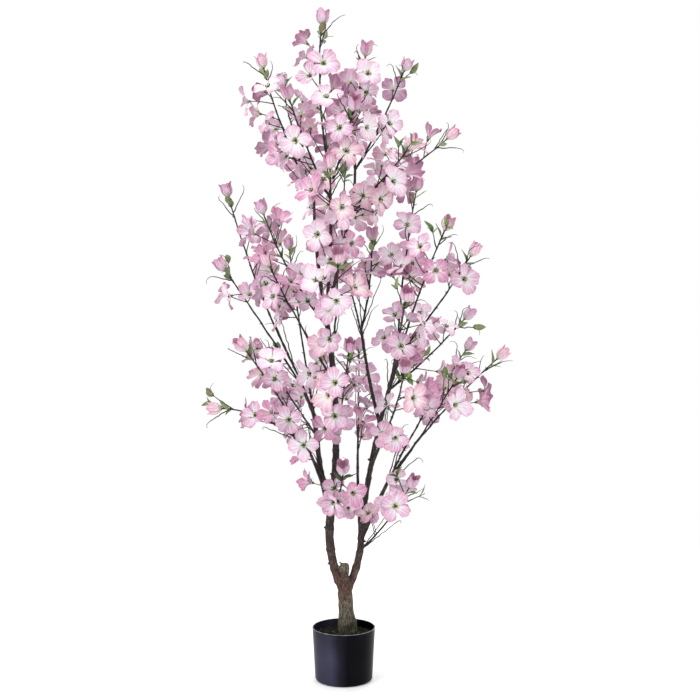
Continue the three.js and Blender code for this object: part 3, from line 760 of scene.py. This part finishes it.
def bark_look():
    """Cracked dark bark: mossy at the foot, red-brown at the fork, charcoal above."""
    look = Look("bark", Roughness=0.85)
    place = look.position()
    height = look.node("SeparateXYZ", {0: place}).outputs[2]
    cracks = look.noise(look.stretched(place, (1, 1, 0.28)), 330.0, 5.0, 0.65)
    patches = look.noise(place, 42.0, 3.0)
    grain = look.noise(place, 900.0, 2.0)
    dark = look.ramp(cracks, (0.36, "0c0606"), (0.5, "1f1516"), (0.66, "3f3030"))
    red = look.ramp(cracks, (0.34, "160b08"), (0.5, "3f261f"), (0.66, "6b4c3e"))
    olive = look.ramp(cracks, (0.34, "1c1912"), (0.5, "4c4537"), (0.66, "847c68"))
    mossy = look.ramp(cracks, (0.36, "0a0c05"), (0.5, "23260f"), (0.66, "4c4c29"))
    wander = look.times(look.centred(patches), 0.09)
    level = look.plus(height, wander)
    colour = look.cover(dark, red, look.times(level, 2.0), (0.56, 1.0), (0.8, 0.0))
    colour = look.cover(colour, olive, look.times(level, 2.0), (0.4, 1.0), (0.5, 0.0))
    colour = look.cover(colour, mossy, look.times(level, 4.0), (0.6, 0.9), (0.76, 0.0))
    top = (np.array(along(curves["trunk"], KNOB.at)) + KNOB.span) * MM
    near = look.node("VectorMath", {0: place, 1: tuple(top)}, operation="DISTANCE").outputs["Value"]
    near = look.plus(near, look.times(wander, 0.08))
    colour = look.cover(colour, olive, look.times(near, 20.0), (0.38, 1.0), (0.5, 0.0))
    colour = look.cover(colour, "857d6d", look.times(patches, grain), (0.33, 0.0), (0.4, 0.4))
    flecks = look.noise(look.stretched(place, (1, 1, 0.5)), 420.0, 2.0)
    colour = look.cover(colour, "8a8073", flecks, (0.6, 0.0), (0.7, 0.42))
    colour = look.cover(colour, "0d0908", flecks, (0.32, 0.5), (0.42, 0.0))
    return look.finish(colour, cracks, 0.0014, 0.9)


def pot_look():
    """Black plastic with a soft blue reflection painted on one side of its colour as a painted highlight."""
    look = Look("pot", Roughness=0.36, Specular_IOR_Level=0.05)
    place = look.position()
    across, _, up = look.node("SeparateXYZ", {0: place}).outputs
    cloud = look.noise(place, 16.0, 4.0)
    grain = look.noise(place, 1400.0, 2.0)
    scuffs = look.noise(look.stretched(place, (1, 1, 9)), 24.0, 5.0, 0.7)
    # painted highlight: the pot's left side, by its x, is painted a lighter soft blue where a reflection
    # shows
    side = look.plus(look.times(across, 4.0), 0.45)
    side = look.plus(side, look.times(cloud, 0.1))
    # the painted highlight is strongest at mid height and weaker at the foot and the top
    low = look.ramp(look.times(up, 6.0), (0.1, 0.8), (0.45, 1.0), (0.85, 0.55))
    painted_highlight = look.ramp(side, (0.14, 0.5), (0.29, 0.9), (0.36, 1.0), (0.45, 0.26), (0.55, 0.0))
    colour = look.ramp(cloud, (0.3, "020206"), (0.7, "06060c"))
    # the painted highlight's soft blue, mixed over the black plastic
    colour = look.mix(look.times(painted_highlight, low), colour, ink("3b3a4c"))
    colour = look.cover(colour, "1e1d2a", scuffs, (0.6, 0.0), (0.78, 0.2))
    wear = look.times(look.plus(cloud, scuffs), 0.5)
    rough = look.ramp(wear, (0.3, 0.26), (0.7, 0.4))
    return look.finish(colour, grain, 0.00015, 0.35, rough)


def floor_look():
    """A pale floor."""
    look = Look("floor", Roughness=0.6)
    cloud = look.noise(look.position(), 2.0, 3.0)
    return look.finish(look.ramp(cloud, (0.3, "f4f4f4"), (0.7, "f8f8f8")))


def toned(look, kind, tones):
    """A look for each tone of a table."""
    return [look(f"{kind}_{tone}", index, *codes) for index, (tone, codes) in enumerate(tones.items())]


# base, pale, middle, edge and streak
PETAL_TONES = {
    "pale": ("d2dba5", "ebebed", "eadbe4", "dbb2c9", "e4d8e1"),
    "pink": ("c9d39d", "e3dfe5", "e1c9d7", "d1a1bb", "dccbd8"),
    "rose": ("bfc28e", "dfcbd7", "d9abc3", "c88dae", "d5bccb"),
    "warm": ("dcdca8", "eee8e4", "ead2db", "deacc0", "e6d7dd"),
    "back_pale": ("c4c89f", "e2d7df", "e1c6d5", "d6aac6", "eadbe5"),
    "back_pink": ("b8ba94", "d6c5d2", "d2b3c7", "c69bb4", "decdd9"),
    "back_rose": ("aaa887", "cdb3c2", "c59ab3", "b986a0", "d6bdcb"),
    "back_warm": ("c6c49a", "e1d1d8", "e0c0ce", "d5a4ba", "ead7dc"),
}
# dark, light and rib
LEAF_TONES = {
    "mid": ("3f5524", "5f793c", "8fa15f"),
    "light": ("526b2e", "779148", "a3b36e"),
    "deep": ("2d401b", "445f2d", "73884d"),
    "dry": ("53512c", "7a7642", "a09b69"),
    "mid_back": ("637647", "809161", "9caa7c"),
    "light_back": ("6e824e", "8d9e69", "a8b484"),
    "deep_back": ("54673f", "708256", "8c9c70"),
    "dry_back": ("656240", "827e57", "9e9972"),
}
PETAL_LOOKS = toned(petal_look, "petal", PETAL_TONES)
LEAF_LOOKS = toned(leaf_look, "leaf", LEAF_TONES)
BARK_LOOK = bark_look()
TWIG_LOOKS = [
    speckled("stem_brown", 260.0, "0e0708", "1e1214", "352426", bump=0.0006, Roughness=0.8),
    speckled("twig_green", 260.0, "151010", "27201d", "3e352d", bump=0.0004, Roughness=0.75),
    speckled("calyx", 400.0, "3b3f23", "545533", "6d6d47", bump=0.0003, Roughness=0.7),
]
STAMEN_LOOKS = [
    speckled("filament", 500.0, "4d4526", "74683c", "988b58", bump=0.0002, Roughness=0.6),
    speckled("anther", 700.0, "1a0c0c", "2f1815", "4d2d22", bump=0.0002, Roughness=0.7),
]
EARTHY = {"Roughness": 0.95, "Specular_IOR_Level": 0.1}
SOIL_LOOKS = [
    speckled("soil", 110.0, "040403", "090806", "120f0a", bump=0.003, **EARTHY),
    speckled("moss_dark", 300.0, "0a0d06", "141809", "1f2210", bump=0.001, **EARTHY),
    speckled("moss_olive", 300.0, "16170b", "262614", "383620", bump=0.001, **EARTHY),
    speckled("moss_straw", 300.0, "2a2617", "3e3722", "534b31", bump=0.001, Roughness=0.95),
]


# ---- limbs
def nub_tube(curve, at, direction, thick):
    """The knob of a lost twig."""
    direction = unit(np.array(direction, float))
    return tube(line(along(curve, at), direction, np.linspace(0, thick + 5.5, 5)), [4.2, 4, 3.6, 3.4, 2.6], 8)


def trunk_radii(t, angles):
    """The trunk's lobed flare at the foot, and its taper where it forks."""
    first, last = TRUNK.radii
    spread = np.exp(-((t / FLARE.reach) ** 4))
    lobes = 1 + FLARE.depth * spread * np.cos(FLARE.lobes * angles - FLARE.turned)
    fork = np.clip((t - FORK.above) / (1 - FORK.above), 0, 1)
    return (first + (last - first) * t + FLARE.spread * spread) * lobes * (1 - FORK.taper * fork**2)


def limb_tube(name, rng):
    """A limb with lumps, long ridges and swollen nodes, and the stubs at its nodes."""
    is_trunk = name == "trunk"
    curve = curves[name]
    length = length_of(curve, np.linspace(0, 1, 30))
    t = np.linspace(0, 1, int(length / SKIN.step) + 2)
    path, run = along(curve, t), t * length
    angles = ring_angles(SKIN.trunk_sides if is_trunk else SKIN.sides)
    first, last = TRUNK.radii if is_trunk else BOUGHS[name][4]
    if is_trunk:
        radii = trunk_radii(t[:, None], angles)
        path[0] -= (0, 0, SKIN.sunk)
    else:
        parent, leaves_at = BOUGHS[name][:2]
        swell = JOINT.swell
        if leaves_at == 1:
            # it carries on as thick as the parent's end, from just inside it
            swell = BOUGHS[parent][4][1] / first - 1
            path[0] -= SKIN.sunk * tangent(curve, 0)
        radii = (first + (last - first) * t) * (1 + swell * np.exp(-run / JOINT.fade))
        radii = np.repeat(radii[:, None], len(angles), 1)
    ring = between(*AXES[:2], angles) + run[:, None, None] / 16 * AXES[2]
    seed = int(rng.integers(1000))
    lumps, ridges = noise(ring * (1.1, 1.1, 1), seed), noise(ring * (3.5, 3.5, 0.7), seed + 1)
    radii *= 1 + SKIN.lumps * lumps + SKIN.ridges * ridges
    bulge = NODE.trunk_bulge if is_trunk else NODE.bulge
    stubs = []
    node = rng.uniform(*NODE.first)
    while node < length - NODE.end:
        radii *= 1 + bulge * np.exp(-(((run - node) / NODE.half) ** 2))[:, None]
        if not is_trunk and rng.random() < STUB.share:
            at = node / length
            heading = tangent(curve, at)
            radial = around(heading, rng.uniform(0, TURN))
            direction = unit(heading * rng.uniform(0.5, 1.1) + radial)
            thick = np.interp(at, (0, 1), (first, last))
            reach = thick + rng.choice(STUB.reach, p=STUB.odds)
            root = along(curve, at)
            size = min(STUB.size * thick, STUB.most) * np.array([1.3, 1.2, 1, 0.9, 0.95])
            stubs.append(tube(line(root, direction, np.linspace(0, reach, 5)), size, 8))
        node += rng.uniform(*NODE.apart)
    for at, direction in NUBS.get(name, ()):
        stubs.append(nub_tube(curve, at, direction, np.interp(at, (0, 1), (first, last))))
    return [tube(path, radii, len(angles)), *stubs]


def carved(name, tubes, relief):
    """Tubes merged into one skin, smoothed, and given the relief of bark."""
    rough = Piece(name + "_rough", "bark", [])
    for points, faces in tubes:
        rough.add(points, faces)
    source = rough.make()
    remesh = source.modifiers.new("skin", "REMESH")
    remesh.mode = "VOXEL"
    remesh.voxel_size = SKIN.voxel * MM
    smooth = source.modifiers.new("smooth", "SMOOTH")
    smooth.factor = 0.5
    smooth.iterations = 2
    graph = bpy.context.evaluated_depsgraph_get()
    mesh = bpy.data.meshes.new_from_object(source.evaluated_get(graph))
    bpy.data.objects.remove(source)
    mesh.name = name
    count = len(mesh.vertices)
    points, normals = np.empty(count * 3), np.empty(count * 3)
    mesh.vertices.foreach_get("co", points)
    mesh.vertex_normals.foreach_get("vector", normals)
    points, normals = points.reshape(-1, 3) / MM, normals.reshape(-1, 3)
    cracks = noise(points * (0.3, 0.3, 0.09), 5) + 0.6 * noise(points * (0.55, 0.55, 0.2), 9)
    lumps = noise(points * 0.11, 21)
    grain = noise(points * 0.5, 33)
    rise = relief * (0.6 * lumps + 0.35 * grain - np.clip(0.55 - np.abs(cracks) * 2.2, 0, 1))
    points = (points + normals * rise[:, None]) * MM
    mesh.vertices.foreach_set("co", points.ravel())
    mesh.materials.clear()
    mesh.materials.append(BARK_LOOK)
    mesh.shade_smooth()
    mesh.update()
    return placed(bpy.data.objects.new(name, mesh), "bark")


def knob_tubes():
    """The cut end of an old leader, and a nub beside it."""
    curve = curve_from(along(curves["trunk"], KNOB.at), KNOB.span, (0, 0, 0))
    t = np.array([0, 0.15, 0.3, 0.45, 0.6, 0.72, 0.84, 0.92, 0.97, 1.0])
    first, last = KNOB.radii
    swell = np.array([1, 0.98, 0.93, 0.88, 0.94, 1.09, 1.2, 1.16, 0.98, 0.58])
    radii = (first + (last - first) * t) * swell
    angles = ring_angles(20)
    lumps = 1 + 0.06 * np.cos(2 * angles + 1) + 0.04 * np.cos(5 * angles)
    nub = line(along(curve, 0.93), (-0.75, -0.3, 0.6), np.linspace(4, 20, 4))
    return [tube(along(curve, t), radii[:, None] * lumps, 20), tube(nub, [3.4, 3.2, 2.6, 2.2], 8)]


# ---- what a spray carries
def petal_grid(bloom, petal, rng):
    """A broad petal with a notched end, hollow and a little ruffled.

    Its rise adds up a bowl, a belly, a turned end, raised sides, two ruffles, a crumple, the
    groove of the midrib, a tilt, and room over the petal below.
    """
    s = column(0, 1, PETAL.rows)
    q = np.linspace(-1, 1, PETAL.columns)
    radius, shut = bloom.radius * bloom.size, bloom.shut
    notch = rng.uniform(0.02, 0.11)
    shift = rng.uniform(-0.2, 0.2)
    end = rng.uniform(*PETAL.end) - 0.24 * np.abs(q) ** 2.6 - notch * np.exp(-(((q - shift) / 0.22) ** 2))
    reach = radius * (PETAL.root + s * (end - PETAL.root))
    width = rng.uniform(*PETAL.width) * np.interp(s, *PETAL_WIDTH)
    lateral = radius * (width * q * (1 - 0.2 * shut) + rng.uniform(-0.08, 0.08) * s**2)
    cup = bloom.cup + 0.95 * shut + rng.uniform(-0.13, 0.13)
    wave = np.sin(TURN * (rng.uniform(0.8, 1.6) * q / 2 + 0.5 * s + rng.random()))
    flute = np.sin(TURN * (rng.uniform(2, 2.8) * q / 2 + rng.random()))
    crumple = noise(np.stack(np.broadcast_arrays(2.2 * s, 1.6 * q, 0 * s * q), -1), int(rng.integers(9999)))
    rise = (
        cup * reach / radius
        + 0.08 * np.sin(math.pi * s)
        - rng.uniform(-0.05, 0.2) * s**3
        + (rng.uniform(0.02, 0.24) + 0.2 * shut) * q**2 * s**0.7 * (1 - 0.4 * s)
        + 0.06 * wave * s**2
        + 0.02 * flute * s**3
        + 0.06 * crumple * s
        - 0.03 * np.exp(-((q / 0.16) ** 2)) * s * (1.15 - s)
        + rng.uniform(-0.3, 0.3) * width * q
        + 0.012 * (petal % 2)
    )
    reach = reach * (1 - 0.38 * shut)
    angle = petal * TURN / BLOOM.petals + rng.uniform(-0.1, 0.1)
    out = between(bloom.across, bloom.along, angle)
    beside = between(bloom.along, -bloom.across, angle)
    place = reach[..., None] * out + lateral[..., None] * beside
    return bloom.centre + place + (radius * rise)[..., None] * bloom.normal


def add_stamens(piece, bloom, rng):
    """A low boss with a ring of dark-tipped stamens round it."""
    normal = bloom.normal
    foot = bloom.centre + normal * 0.6
    boss = line(foot, normal, (0, 1.4, 2.8, 3.6))
    piece.add(*tube(boss, [3.6, 3.4, 2.4, 1.0], 7, bloom.across), int(rng.random() < 0.7))
    part = column(0.15, 1, 4)
    for k in range(STAMENS):
        out = between(bloom.across, bloom.along, k * TURN * 0.382 + rng.uniform(-0.3, 0.3))
        lean = between(normal, out, rng.uniform(0.2, 1.15))
        path = foot + rng.uniform(6.5, 10.5) * (lean * part + normal * 0.12 * part * (1 - part))
        piece.add(*tube(path, [0.5, 0.42, 0.38, 0.34], 3, np.cross(normal, out)), 0)
        head = unit(path[-1] - path[-2])
        piece.add(*tube(line(path[-1], head, (-0.7, 0.3, 1.5)), [0.7, 1.5, 0.7], 4), 1)


def leaf_grid(blade, rng):
    """A pointed leaf, folded along its midrib, that bends down."""
    s, q = column(0, 1, 8), np.linspace(-1, 1, 5)
    length, width = 0.92 * LEAF.length * blade.scale, 0.42 * LEAF.width * blade.scale
    outline = 0.03 + 1.32 * np.sin(math.pi * s**0.82) ** 0.85 * (1 - 0.25 * s)
    lateral = width * outline * q + length * rng.uniform(-0.06, 0.06) * s**2
    rise = (
        width * rng.uniform(0.25, 0.6) * np.abs(q) * outline
        - length * rng.uniform(0.02, 0.2) * s**2
        + width * 0.1 * np.sin(TURN * (1.4 * s + 0.3 * q + rng.random())) * np.abs(q)
    )
    across = np.cross(blade.face, blade.heading)
    place = (length * s)[..., None] * blade.heading + lateral[..., None] * across
    return blade.root + place + rise[..., None] * blade.face


def bud_grids(root, heading, size, openness, rng):
    """Four petals wrapped round one another, with flared pointed lips."""
    across, up = square_to(heading)
    s, q = column(0, 1, 9), np.linspace(-1, 1, 8)
    turned = rng.uniform(0, TURN)
    grids = []
    for petal in range(BLOOM.petals):
        angle = turned + petal * TURN / BLOOM.petals + 0.98 * q * (1 - 0.2 * s**3)
        height = size * s * (1 - 0.24 * np.abs(q) ** 1.6 * s**2) * (1 + 0.04 * rng.normal() * s)
        belly = np.interp(s, *BUD_WIDTH)
        lip = (1.5 + 4.5 * openness) * np.clip(s - 0.74, 0, 1) / 0.26 * (1 - 0.6 * q**2)
        crease = 0.5 * np.sin(TURN * (1.3 * q + rng.random())) * s
        radius = (belly * size / 40 + lip + crease + 1.0 * q + 0.5 * (petal % 2)) * (1 + 0.03 * rng.normal())
        out = between(across, up, angle)
        grids.append(root + height[..., None] * heading + radius[..., None] * out)
    return grids


def add_stub(piece, root, direction, length, radius, material):
    """The short end of a lost twig."""
    path = line(root, direction, np.linspace(0, length, 3))
    piece.add(*tube(path, [radius * 1.2, radius, radius * 0.85], 5), material)


def add_tendril(piece, root, direction, side, rng):
    """A thin bare end that curls over."""
    length, curl = rng.uniform(24, 38), rng.uniform(1.0, 2.1)
    steps = between(direction, side, np.linspace(0, curl, 9))
    path = root + np.vstack([np.zeros(3), np.cumsum(steps[1:], 0)]) * length / 8
    piece.add(*tube(path, np.linspace(1.1, 0.5, 9), 5, np.cross(direction, side)), 1)


SWAY = np.array([[0, 7, 0], [0, 0, 7], [3, 3, 3]])  # takes a noise of its own for each axis


def add_stem(piece, name, rng):
    """A spray's stem with nodes and the stubs of old twigs."""
    curve = curves[name]
    length = length_of(curve, spine_at)
    t = np.linspace(0, 1, int(length / STEM.step))
    path, run = along(curve, t), t * length
    cells = np.stack([run / STEM.wave, t * 0, t * 0 + 0.5], -1)[:, None] + SWAY
    path += STEM.sway * noise(cells, seed_of(name)) * np.sin(math.pi * t)[:, None]
    first, last = STEM.radii
    radii = first + (last - first) * t**0.85
    node = rng.uniform(*STEM.first)
    while node < length - STEM.end:
        radii *= 1 + STEM.bulge * np.exp(-(((run - node) / STEM.half) ** 2))
        at = node / length
        if rng.random() < STEM.stubs:
            heading = tangent(curve, at)
            radial = around(heading, rng.uniform(0, TURN))
            direction = unit(heading * rng.uniform(0.6, 1.2) + radial)
            add_stub(piece, along(curve, at), direction, rng.uniform(5, 10), 1.1, 0)
        node += rng.uniform(*STEM.apart)
    material = np.where(np.repeat(t[:-1], 8) < STEM.green, 0, 1)
    piece.add(*tube(path, radii, 8), [material, 1])


def add_stalk(piece, bloom, rng):
    """A thin twig that bends into the back of its bloom."""
    end = bloom.centre - bloom.normal
    handle = bloom.centre - bloom.normal * bloom.length * 0.42 + rng.normal(size=3) * 1.5
    t = np.linspace(0, 1, 10)
    path = along((bloom.root, handle, end), t)
    radii = np.interp(t, (0, 0.15, 0.85, 1), (1.9, TWIG_RADIUS, 1.2, 1.4))
    piece.add(*tube(path, radii, 6), int(rng.random() < 0.6))
    cup = line(end, -bloom.normal, (5.5, 3.5, 1.5, -0.8))
    piece.add(*tube(cup, [1.2, 2.0, 3.2, 4.0], 8), 2)
    for part in rng.uniform(0.25, 0.75, 2):
        direction = unit(bloom.direction + rng.normal(size=3))
        at = path[int(part * 9)]
        add_stub(piece, at, direction, rng.uniform(2.2, 4.5), 0.75, 1)


def tone_of(bloom, rng):
    """A bloom's tone: half-shut ones are the deepest."""
    if bloom.shut > 0.4:
        return DEEPEST
    return int(rng.choice(TONES, p=PETAL_SHARES))


# ---- the pieces
def make_limbs():
    rng = np.random.default_rng(11)
    tubes = {name: limb_tube(name, rng) for name in ["trunk", *BOUGHS]}
    low = [*tubes["trunk"], *knob_tubes(), *tubes["left_stem"], *tubes["right_stem"]]
    base = carved("trunk_bark", low, RELIEF.trunk)
    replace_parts(base, "trunk", "left_stem", "right_stem")
    names = [name for name in BOUGHS if name not in ("left_stem", "right_stem")]
    upper = carved("bough_bark", [made for name in names for made in tubes[name]], RELIEF.boughs)
    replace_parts(upper, *names)


def make_sprays():
    stems = Piece("stems_and_twigs", "bark", TWIG_LOOKS)
    stamens = Piece("stamens", "spray", STAMEN_LOOKS)
    leaves = Piece("leaves", "spray", LEAF_LOOKS, True)
    buds = Piece("buds", "spray", PETAL_LOOKS, True)
    petals = [Piece(f"petals_{k + 1}", "spray", PETAL_LOOKS, True) for k in range(PETAL_PIECES)]
    sprays = {name: grow(name) for name in spray_names}
    blooms = [bloom for spray in sprays.values() for bloom in spray.blooms]
    blooms += grow_late(blooms)
    rng = np.random.default_rng(7)
    for count, bloom in enumerate(blooms):
        bloom.shut = rng.uniform(0.5, 0.8) if rng.random() < HALF_SHUT else rng.uniform(0, 0.12)
        bloom.size = rng.uniform(0.93, 1.03)
        tone = tone_of(bloom, rng)
        piece = petals[count % len(petals)]
        for petal in range(BLOOM.petals):
            add_sheet(piece, petal_grid(bloom, petal, rng), PETAL.thick, tone, TONES + tone)
        add_stalk(stems, bloom, rng)
        add_stamens(stamens, bloom, rng)
    for name, spray in sprays.items():
        rng = np.random.default_rng(seed_of(name))
        near = [bloom for bloom in blooms if norm(bloom.root - spray.tip) < NEARBY]
        finer = grow_finer(name, near, FINER) + grow_finer(name, near, SHOOTS)
        add_stem(stems, name, rng)
        size, openness = rng.uniform(38, 43), rng.random()
        foot = spray.tip + 2 * spray.heading
        for grid in bud_grids(foot, spray.heading, size, openness, rng):
            add_sheet(buds, grid, BUD_THICK, DEEPEST, TONES + int(rng.choice([1, 2, 3])))
        cup = line(spray.tip, spray.heading, (-3, 0, 3, 6))
        stems.add(*tube(cup, [1.6, 2.6, 4.6, 5.4], 8), 2)
        blades = [*spray.leaves]
        for twig in finer:
            count = 4 + int(norm(twig.tip - twig.root) / 15)
            path = line(twig.root, twig.tip - twig.root, np.linspace(0, 1, count))
            path[1:-1] += rng.normal(size=(count - 2, 3)) * 0.8
            thick = rng.uniform(1, 1.35, count) * np.linspace(1.6, 1, count)
            stems.add(*tube(path, thick, 5), int(rng.integers(2)))
            curl = unit(np.cross(twig.direction, twig.side))
            add_tendril(stems, twig.tip, twig.direction, curl, rng)
            blades += twig.blades
        for blade in blades:
            tone = int(rng.choice(TONES, p=LEAF_SHARES))
            add_sheet(leaves, leaf_grid(blade, rng), LEAF_THICK, tone, TONES + tone)
    for piece in [stems, stamens, leaves, buds, *petals]:
        made = piece.make()
        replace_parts(made, *(f"spray_{name}" for name in spray_names))


HUB = 0.5  # a lathed solid's first and last radius


def lathe(profile, sides, wobble=None):
    """A closed solid of revolution, whose profile starts and ends just off the axis."""
    radii, heights = np.array(profile, float).T[..., None, None]
    rings = heights * AXES[2] + radii * between(*AXES[:2], ring_angles(sides))
    if wobble:
        rings = wobble(rings)
    return ring_solid(rings, rings[[0, -1]].mean(1))


def arc(centre, radius, first, last, steps):
    """Points of an arc between two angles in degrees."""
    return centre + radius * between(*np.eye(2), np.radians(np.linspace(first, last, steps)))


def pot_radius(height):
    """The outside of the pot's wall."""
    return POT.foot + (POT.rim - POT.foot) * height / POT.height


def make_pot():
    foot, bead, wall, top = POT.foot_round, POT.rim_round, POT.wall, POT.height
    # the thickness of the floor, and where the wall starts above its rounding
    floor, lowest = 5, 12
    profile = [
        *[(r, 0) for r in (HUB, 30, 60)],
        *arc((POT.foot - foot + 0.35, foot), foot, -90, -4, 8),
        *[(pot_radius(h), h) for h in np.linspace(lowest, top - 3.2, 16)],
        (pot_radius(top - 2.4) + 0.1, top - 2.4),
        *arc((POT.rim - bead, top - bead), bead + 0.15, 0, 90, 5),
        *arc((POT.rim - wall + bead, top - bead), bead, 90, 180, 5),
        *[(pot_radius(h) - wall, h) for h in np.linspace(top - 3, lowest, 12)],
        (60, floor),
        (HUB, floor),
    ]
    points, (quads, caps) = lathe(profile, 96)
    # the rim's top is painted a lighter grey: a painted highlight along its edge
    rim = speckled("pot_rim_painted_highlight", 60.0, "32323a", "6a6a72", "909097", bump=0.0002, Roughness=0.4)
    piece = Piece("pot_shell", "pot", [pot_look(), rim])
    heights = points[quads][..., 2].min(1)
    piece.add(points, [quads, caps], [(heights > top - bead - 0.4).astype(int), 0])
    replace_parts(piece.make(40), "pot")


# the moss: tufts tried, the share round the trunk and how near they come to it and to the edge
MOSS = Values(tries=900, by_trunk=0.45, ring=(27, 14), trunk_gap=22, edge_gap=3, size=(1.6, 3.4), larger=1.3)


def make_fill():
    rng = np.random.default_rng(5)
    edge = pot_radius(0.88 * POT.height) - POT.wall - 0.4
    bottom = 110

    def level(reach):
        return FILL.top - np.interp(reach, (FILL.flat, edge), (0, FILL.edge_drop))

    def lumps(points):
        lift = 2.2 * noise(points * 0.09, 3) + 1.5 * noise(points * 0.25, 8) + 0.8 * noise(points * 0.6, 12)
        top = points[..., 2] > FILL.top - FILL.edge_drop - 0.5
        points[..., 2] += lift * top
        return points

    surface = [(r, level(r)) for r in np.linspace(edge, HUB, 34)]
    points, (quads, caps) = lathe([(HUB, bottom), (edge - 1, bottom), *surface], 90, lumps)
    piece = Piece("planting", "filling", SOIL_LOOKS)
    patch = noise(points[quads].mean(1) * 0.07, 40)
    piece.add(points, [quads, caps], [(patch > 0.25).astype(int), 0])
    foot = np.array(TRUNK.foot[:2])
    for _ in range(MOSS.tries):
        angle = rng.uniform(0, TURN)
        by_trunk = rng.random() < MOSS.by_trunk
        near, wide = MOSS.ring
        reach = near + wide * rng.random() ** 2 if by_trunk else edge * math.sqrt(rng.random())
        spot = foot * by_trunk + reach * between(*np.eye(2), angle)
        if norm(spot) > edge - MOSS.edge_gap or norm(spot - foot) < MOSS.trunk_gap:
            continue
        root = np.array([*spot, level(norm(spot)) - 1])
        size = rng.uniform(*MOSS.size) * (MOSS.larger if by_trunk else 1)
        direction = unit(rng.normal(size=3) + (0, 0, 1.5))
        kind = int(rng.choice([1, 2, 3], p=[0.4, 0.4, 0.2]))
        tuft = line(root, direction * size, (-0.4, 0.5, 1.4))
        piece.add(*tube(tuft, np.array([0.5, 1, 0.3]) * size * 0.62, 5), kind)
    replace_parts(piece.make(70), "pot_fill")


# ---- studio
FLOOR_RADIUS = 2.2
# the backdrop's brightness, from the viewer's side to the far side and from level to straight up
BY_DEPTH = ((-0.2, 0.73), (0.25, 1.0))
BY_HEIGHT = ((0.35, 1.0), (0.75, 0.6))
# name, place, size, power
LIGHTS = [
    ("key", (-2.4, -2.4, 2.7), (1.4, 1.8), 72),
    ("fill", (2.6, -2.2, 1.6), (1.8, 1.8), 30),
    ("back", (0.6, 2.8, 2.6), (1.8, 1.4), 28),
    ("top", (0.0, 0.0, 6.0), (7.0, 7.0), 370),
]
AIM = np.array([0.02, 0, 1.0])
CAMERA = Values(place=(0.0173, -3.4, 1.114), down=3.29, lens=63.72, sensor=36, far=100)


def make_studio():
    bpy.ops.mesh.primitive_circle_add(vertices=96, radius=FLOOR_RADIUS, fill_type="NGON")
    floor = bpy.context.object
    floor.name = "floor"
    floor.data.materials.append(floor_look())
    scene = bpy.context.scene
    scene.view_settings.view_transform = "Standard"
    scene.world = bpy.data.worlds.new("studio")
    backdrop = Shading(scene.world)
    facing = backdrop.node("TexCoord", {}).outputs["Generated"]
    parts = backdrop.node("SeparateXYZ", {0: facing}).outputs

    def shade(part, stops):
        level = backdrop.node("MapRange", {"From Min": -1, "Value": part}).outputs[0]
        return backdrop.ramp(level, *(((place + 1) / 2, value) for place, value in stops))

    glow = backdrop.mix(1, shade(parts[1], BY_DEPTH), shade(parts[2], BY_HEIGHT), "MULTIPLY")
    backdrop.feed(backdrop.nodes["Background"].inputs[0], glow)
    for name, spot, size, watts in LIGHTS:
        data = bpy.data.lights.new(name, "AREA")
        data.shape = "RECTANGLE"
        data.size, data.size_y = size
        data.energy = watts
        lamp = bpy.data.objects.new(name, data)
        lamp.location = spot
        aim = AIM - spot
        lean = math.acos(-aim[2] / norm(aim))
        lamp.rotation_euler = (lean, 0, math.atan2(aim[1], aim[0]) - TURN / 4)
        scene.collection.objects.link(lamp)
    data = bpy.data.cameras.new("camera")
    data.lens, data.sensor_width, data.clip_end = CAMERA.lens, CAMERA.sensor, CAMERA.far
    camera = bpy.data.objects.new("camera", data)
    camera.location = CAMERA.place
    camera.rotation_euler = (math.radians(90 - CAMERA.down), 0, 0)
    scene.collection.objects.link(camera)
    scene.camera = camera


make_studio()
make_limbs()
make_sprays()
make_pot()
make_fill()
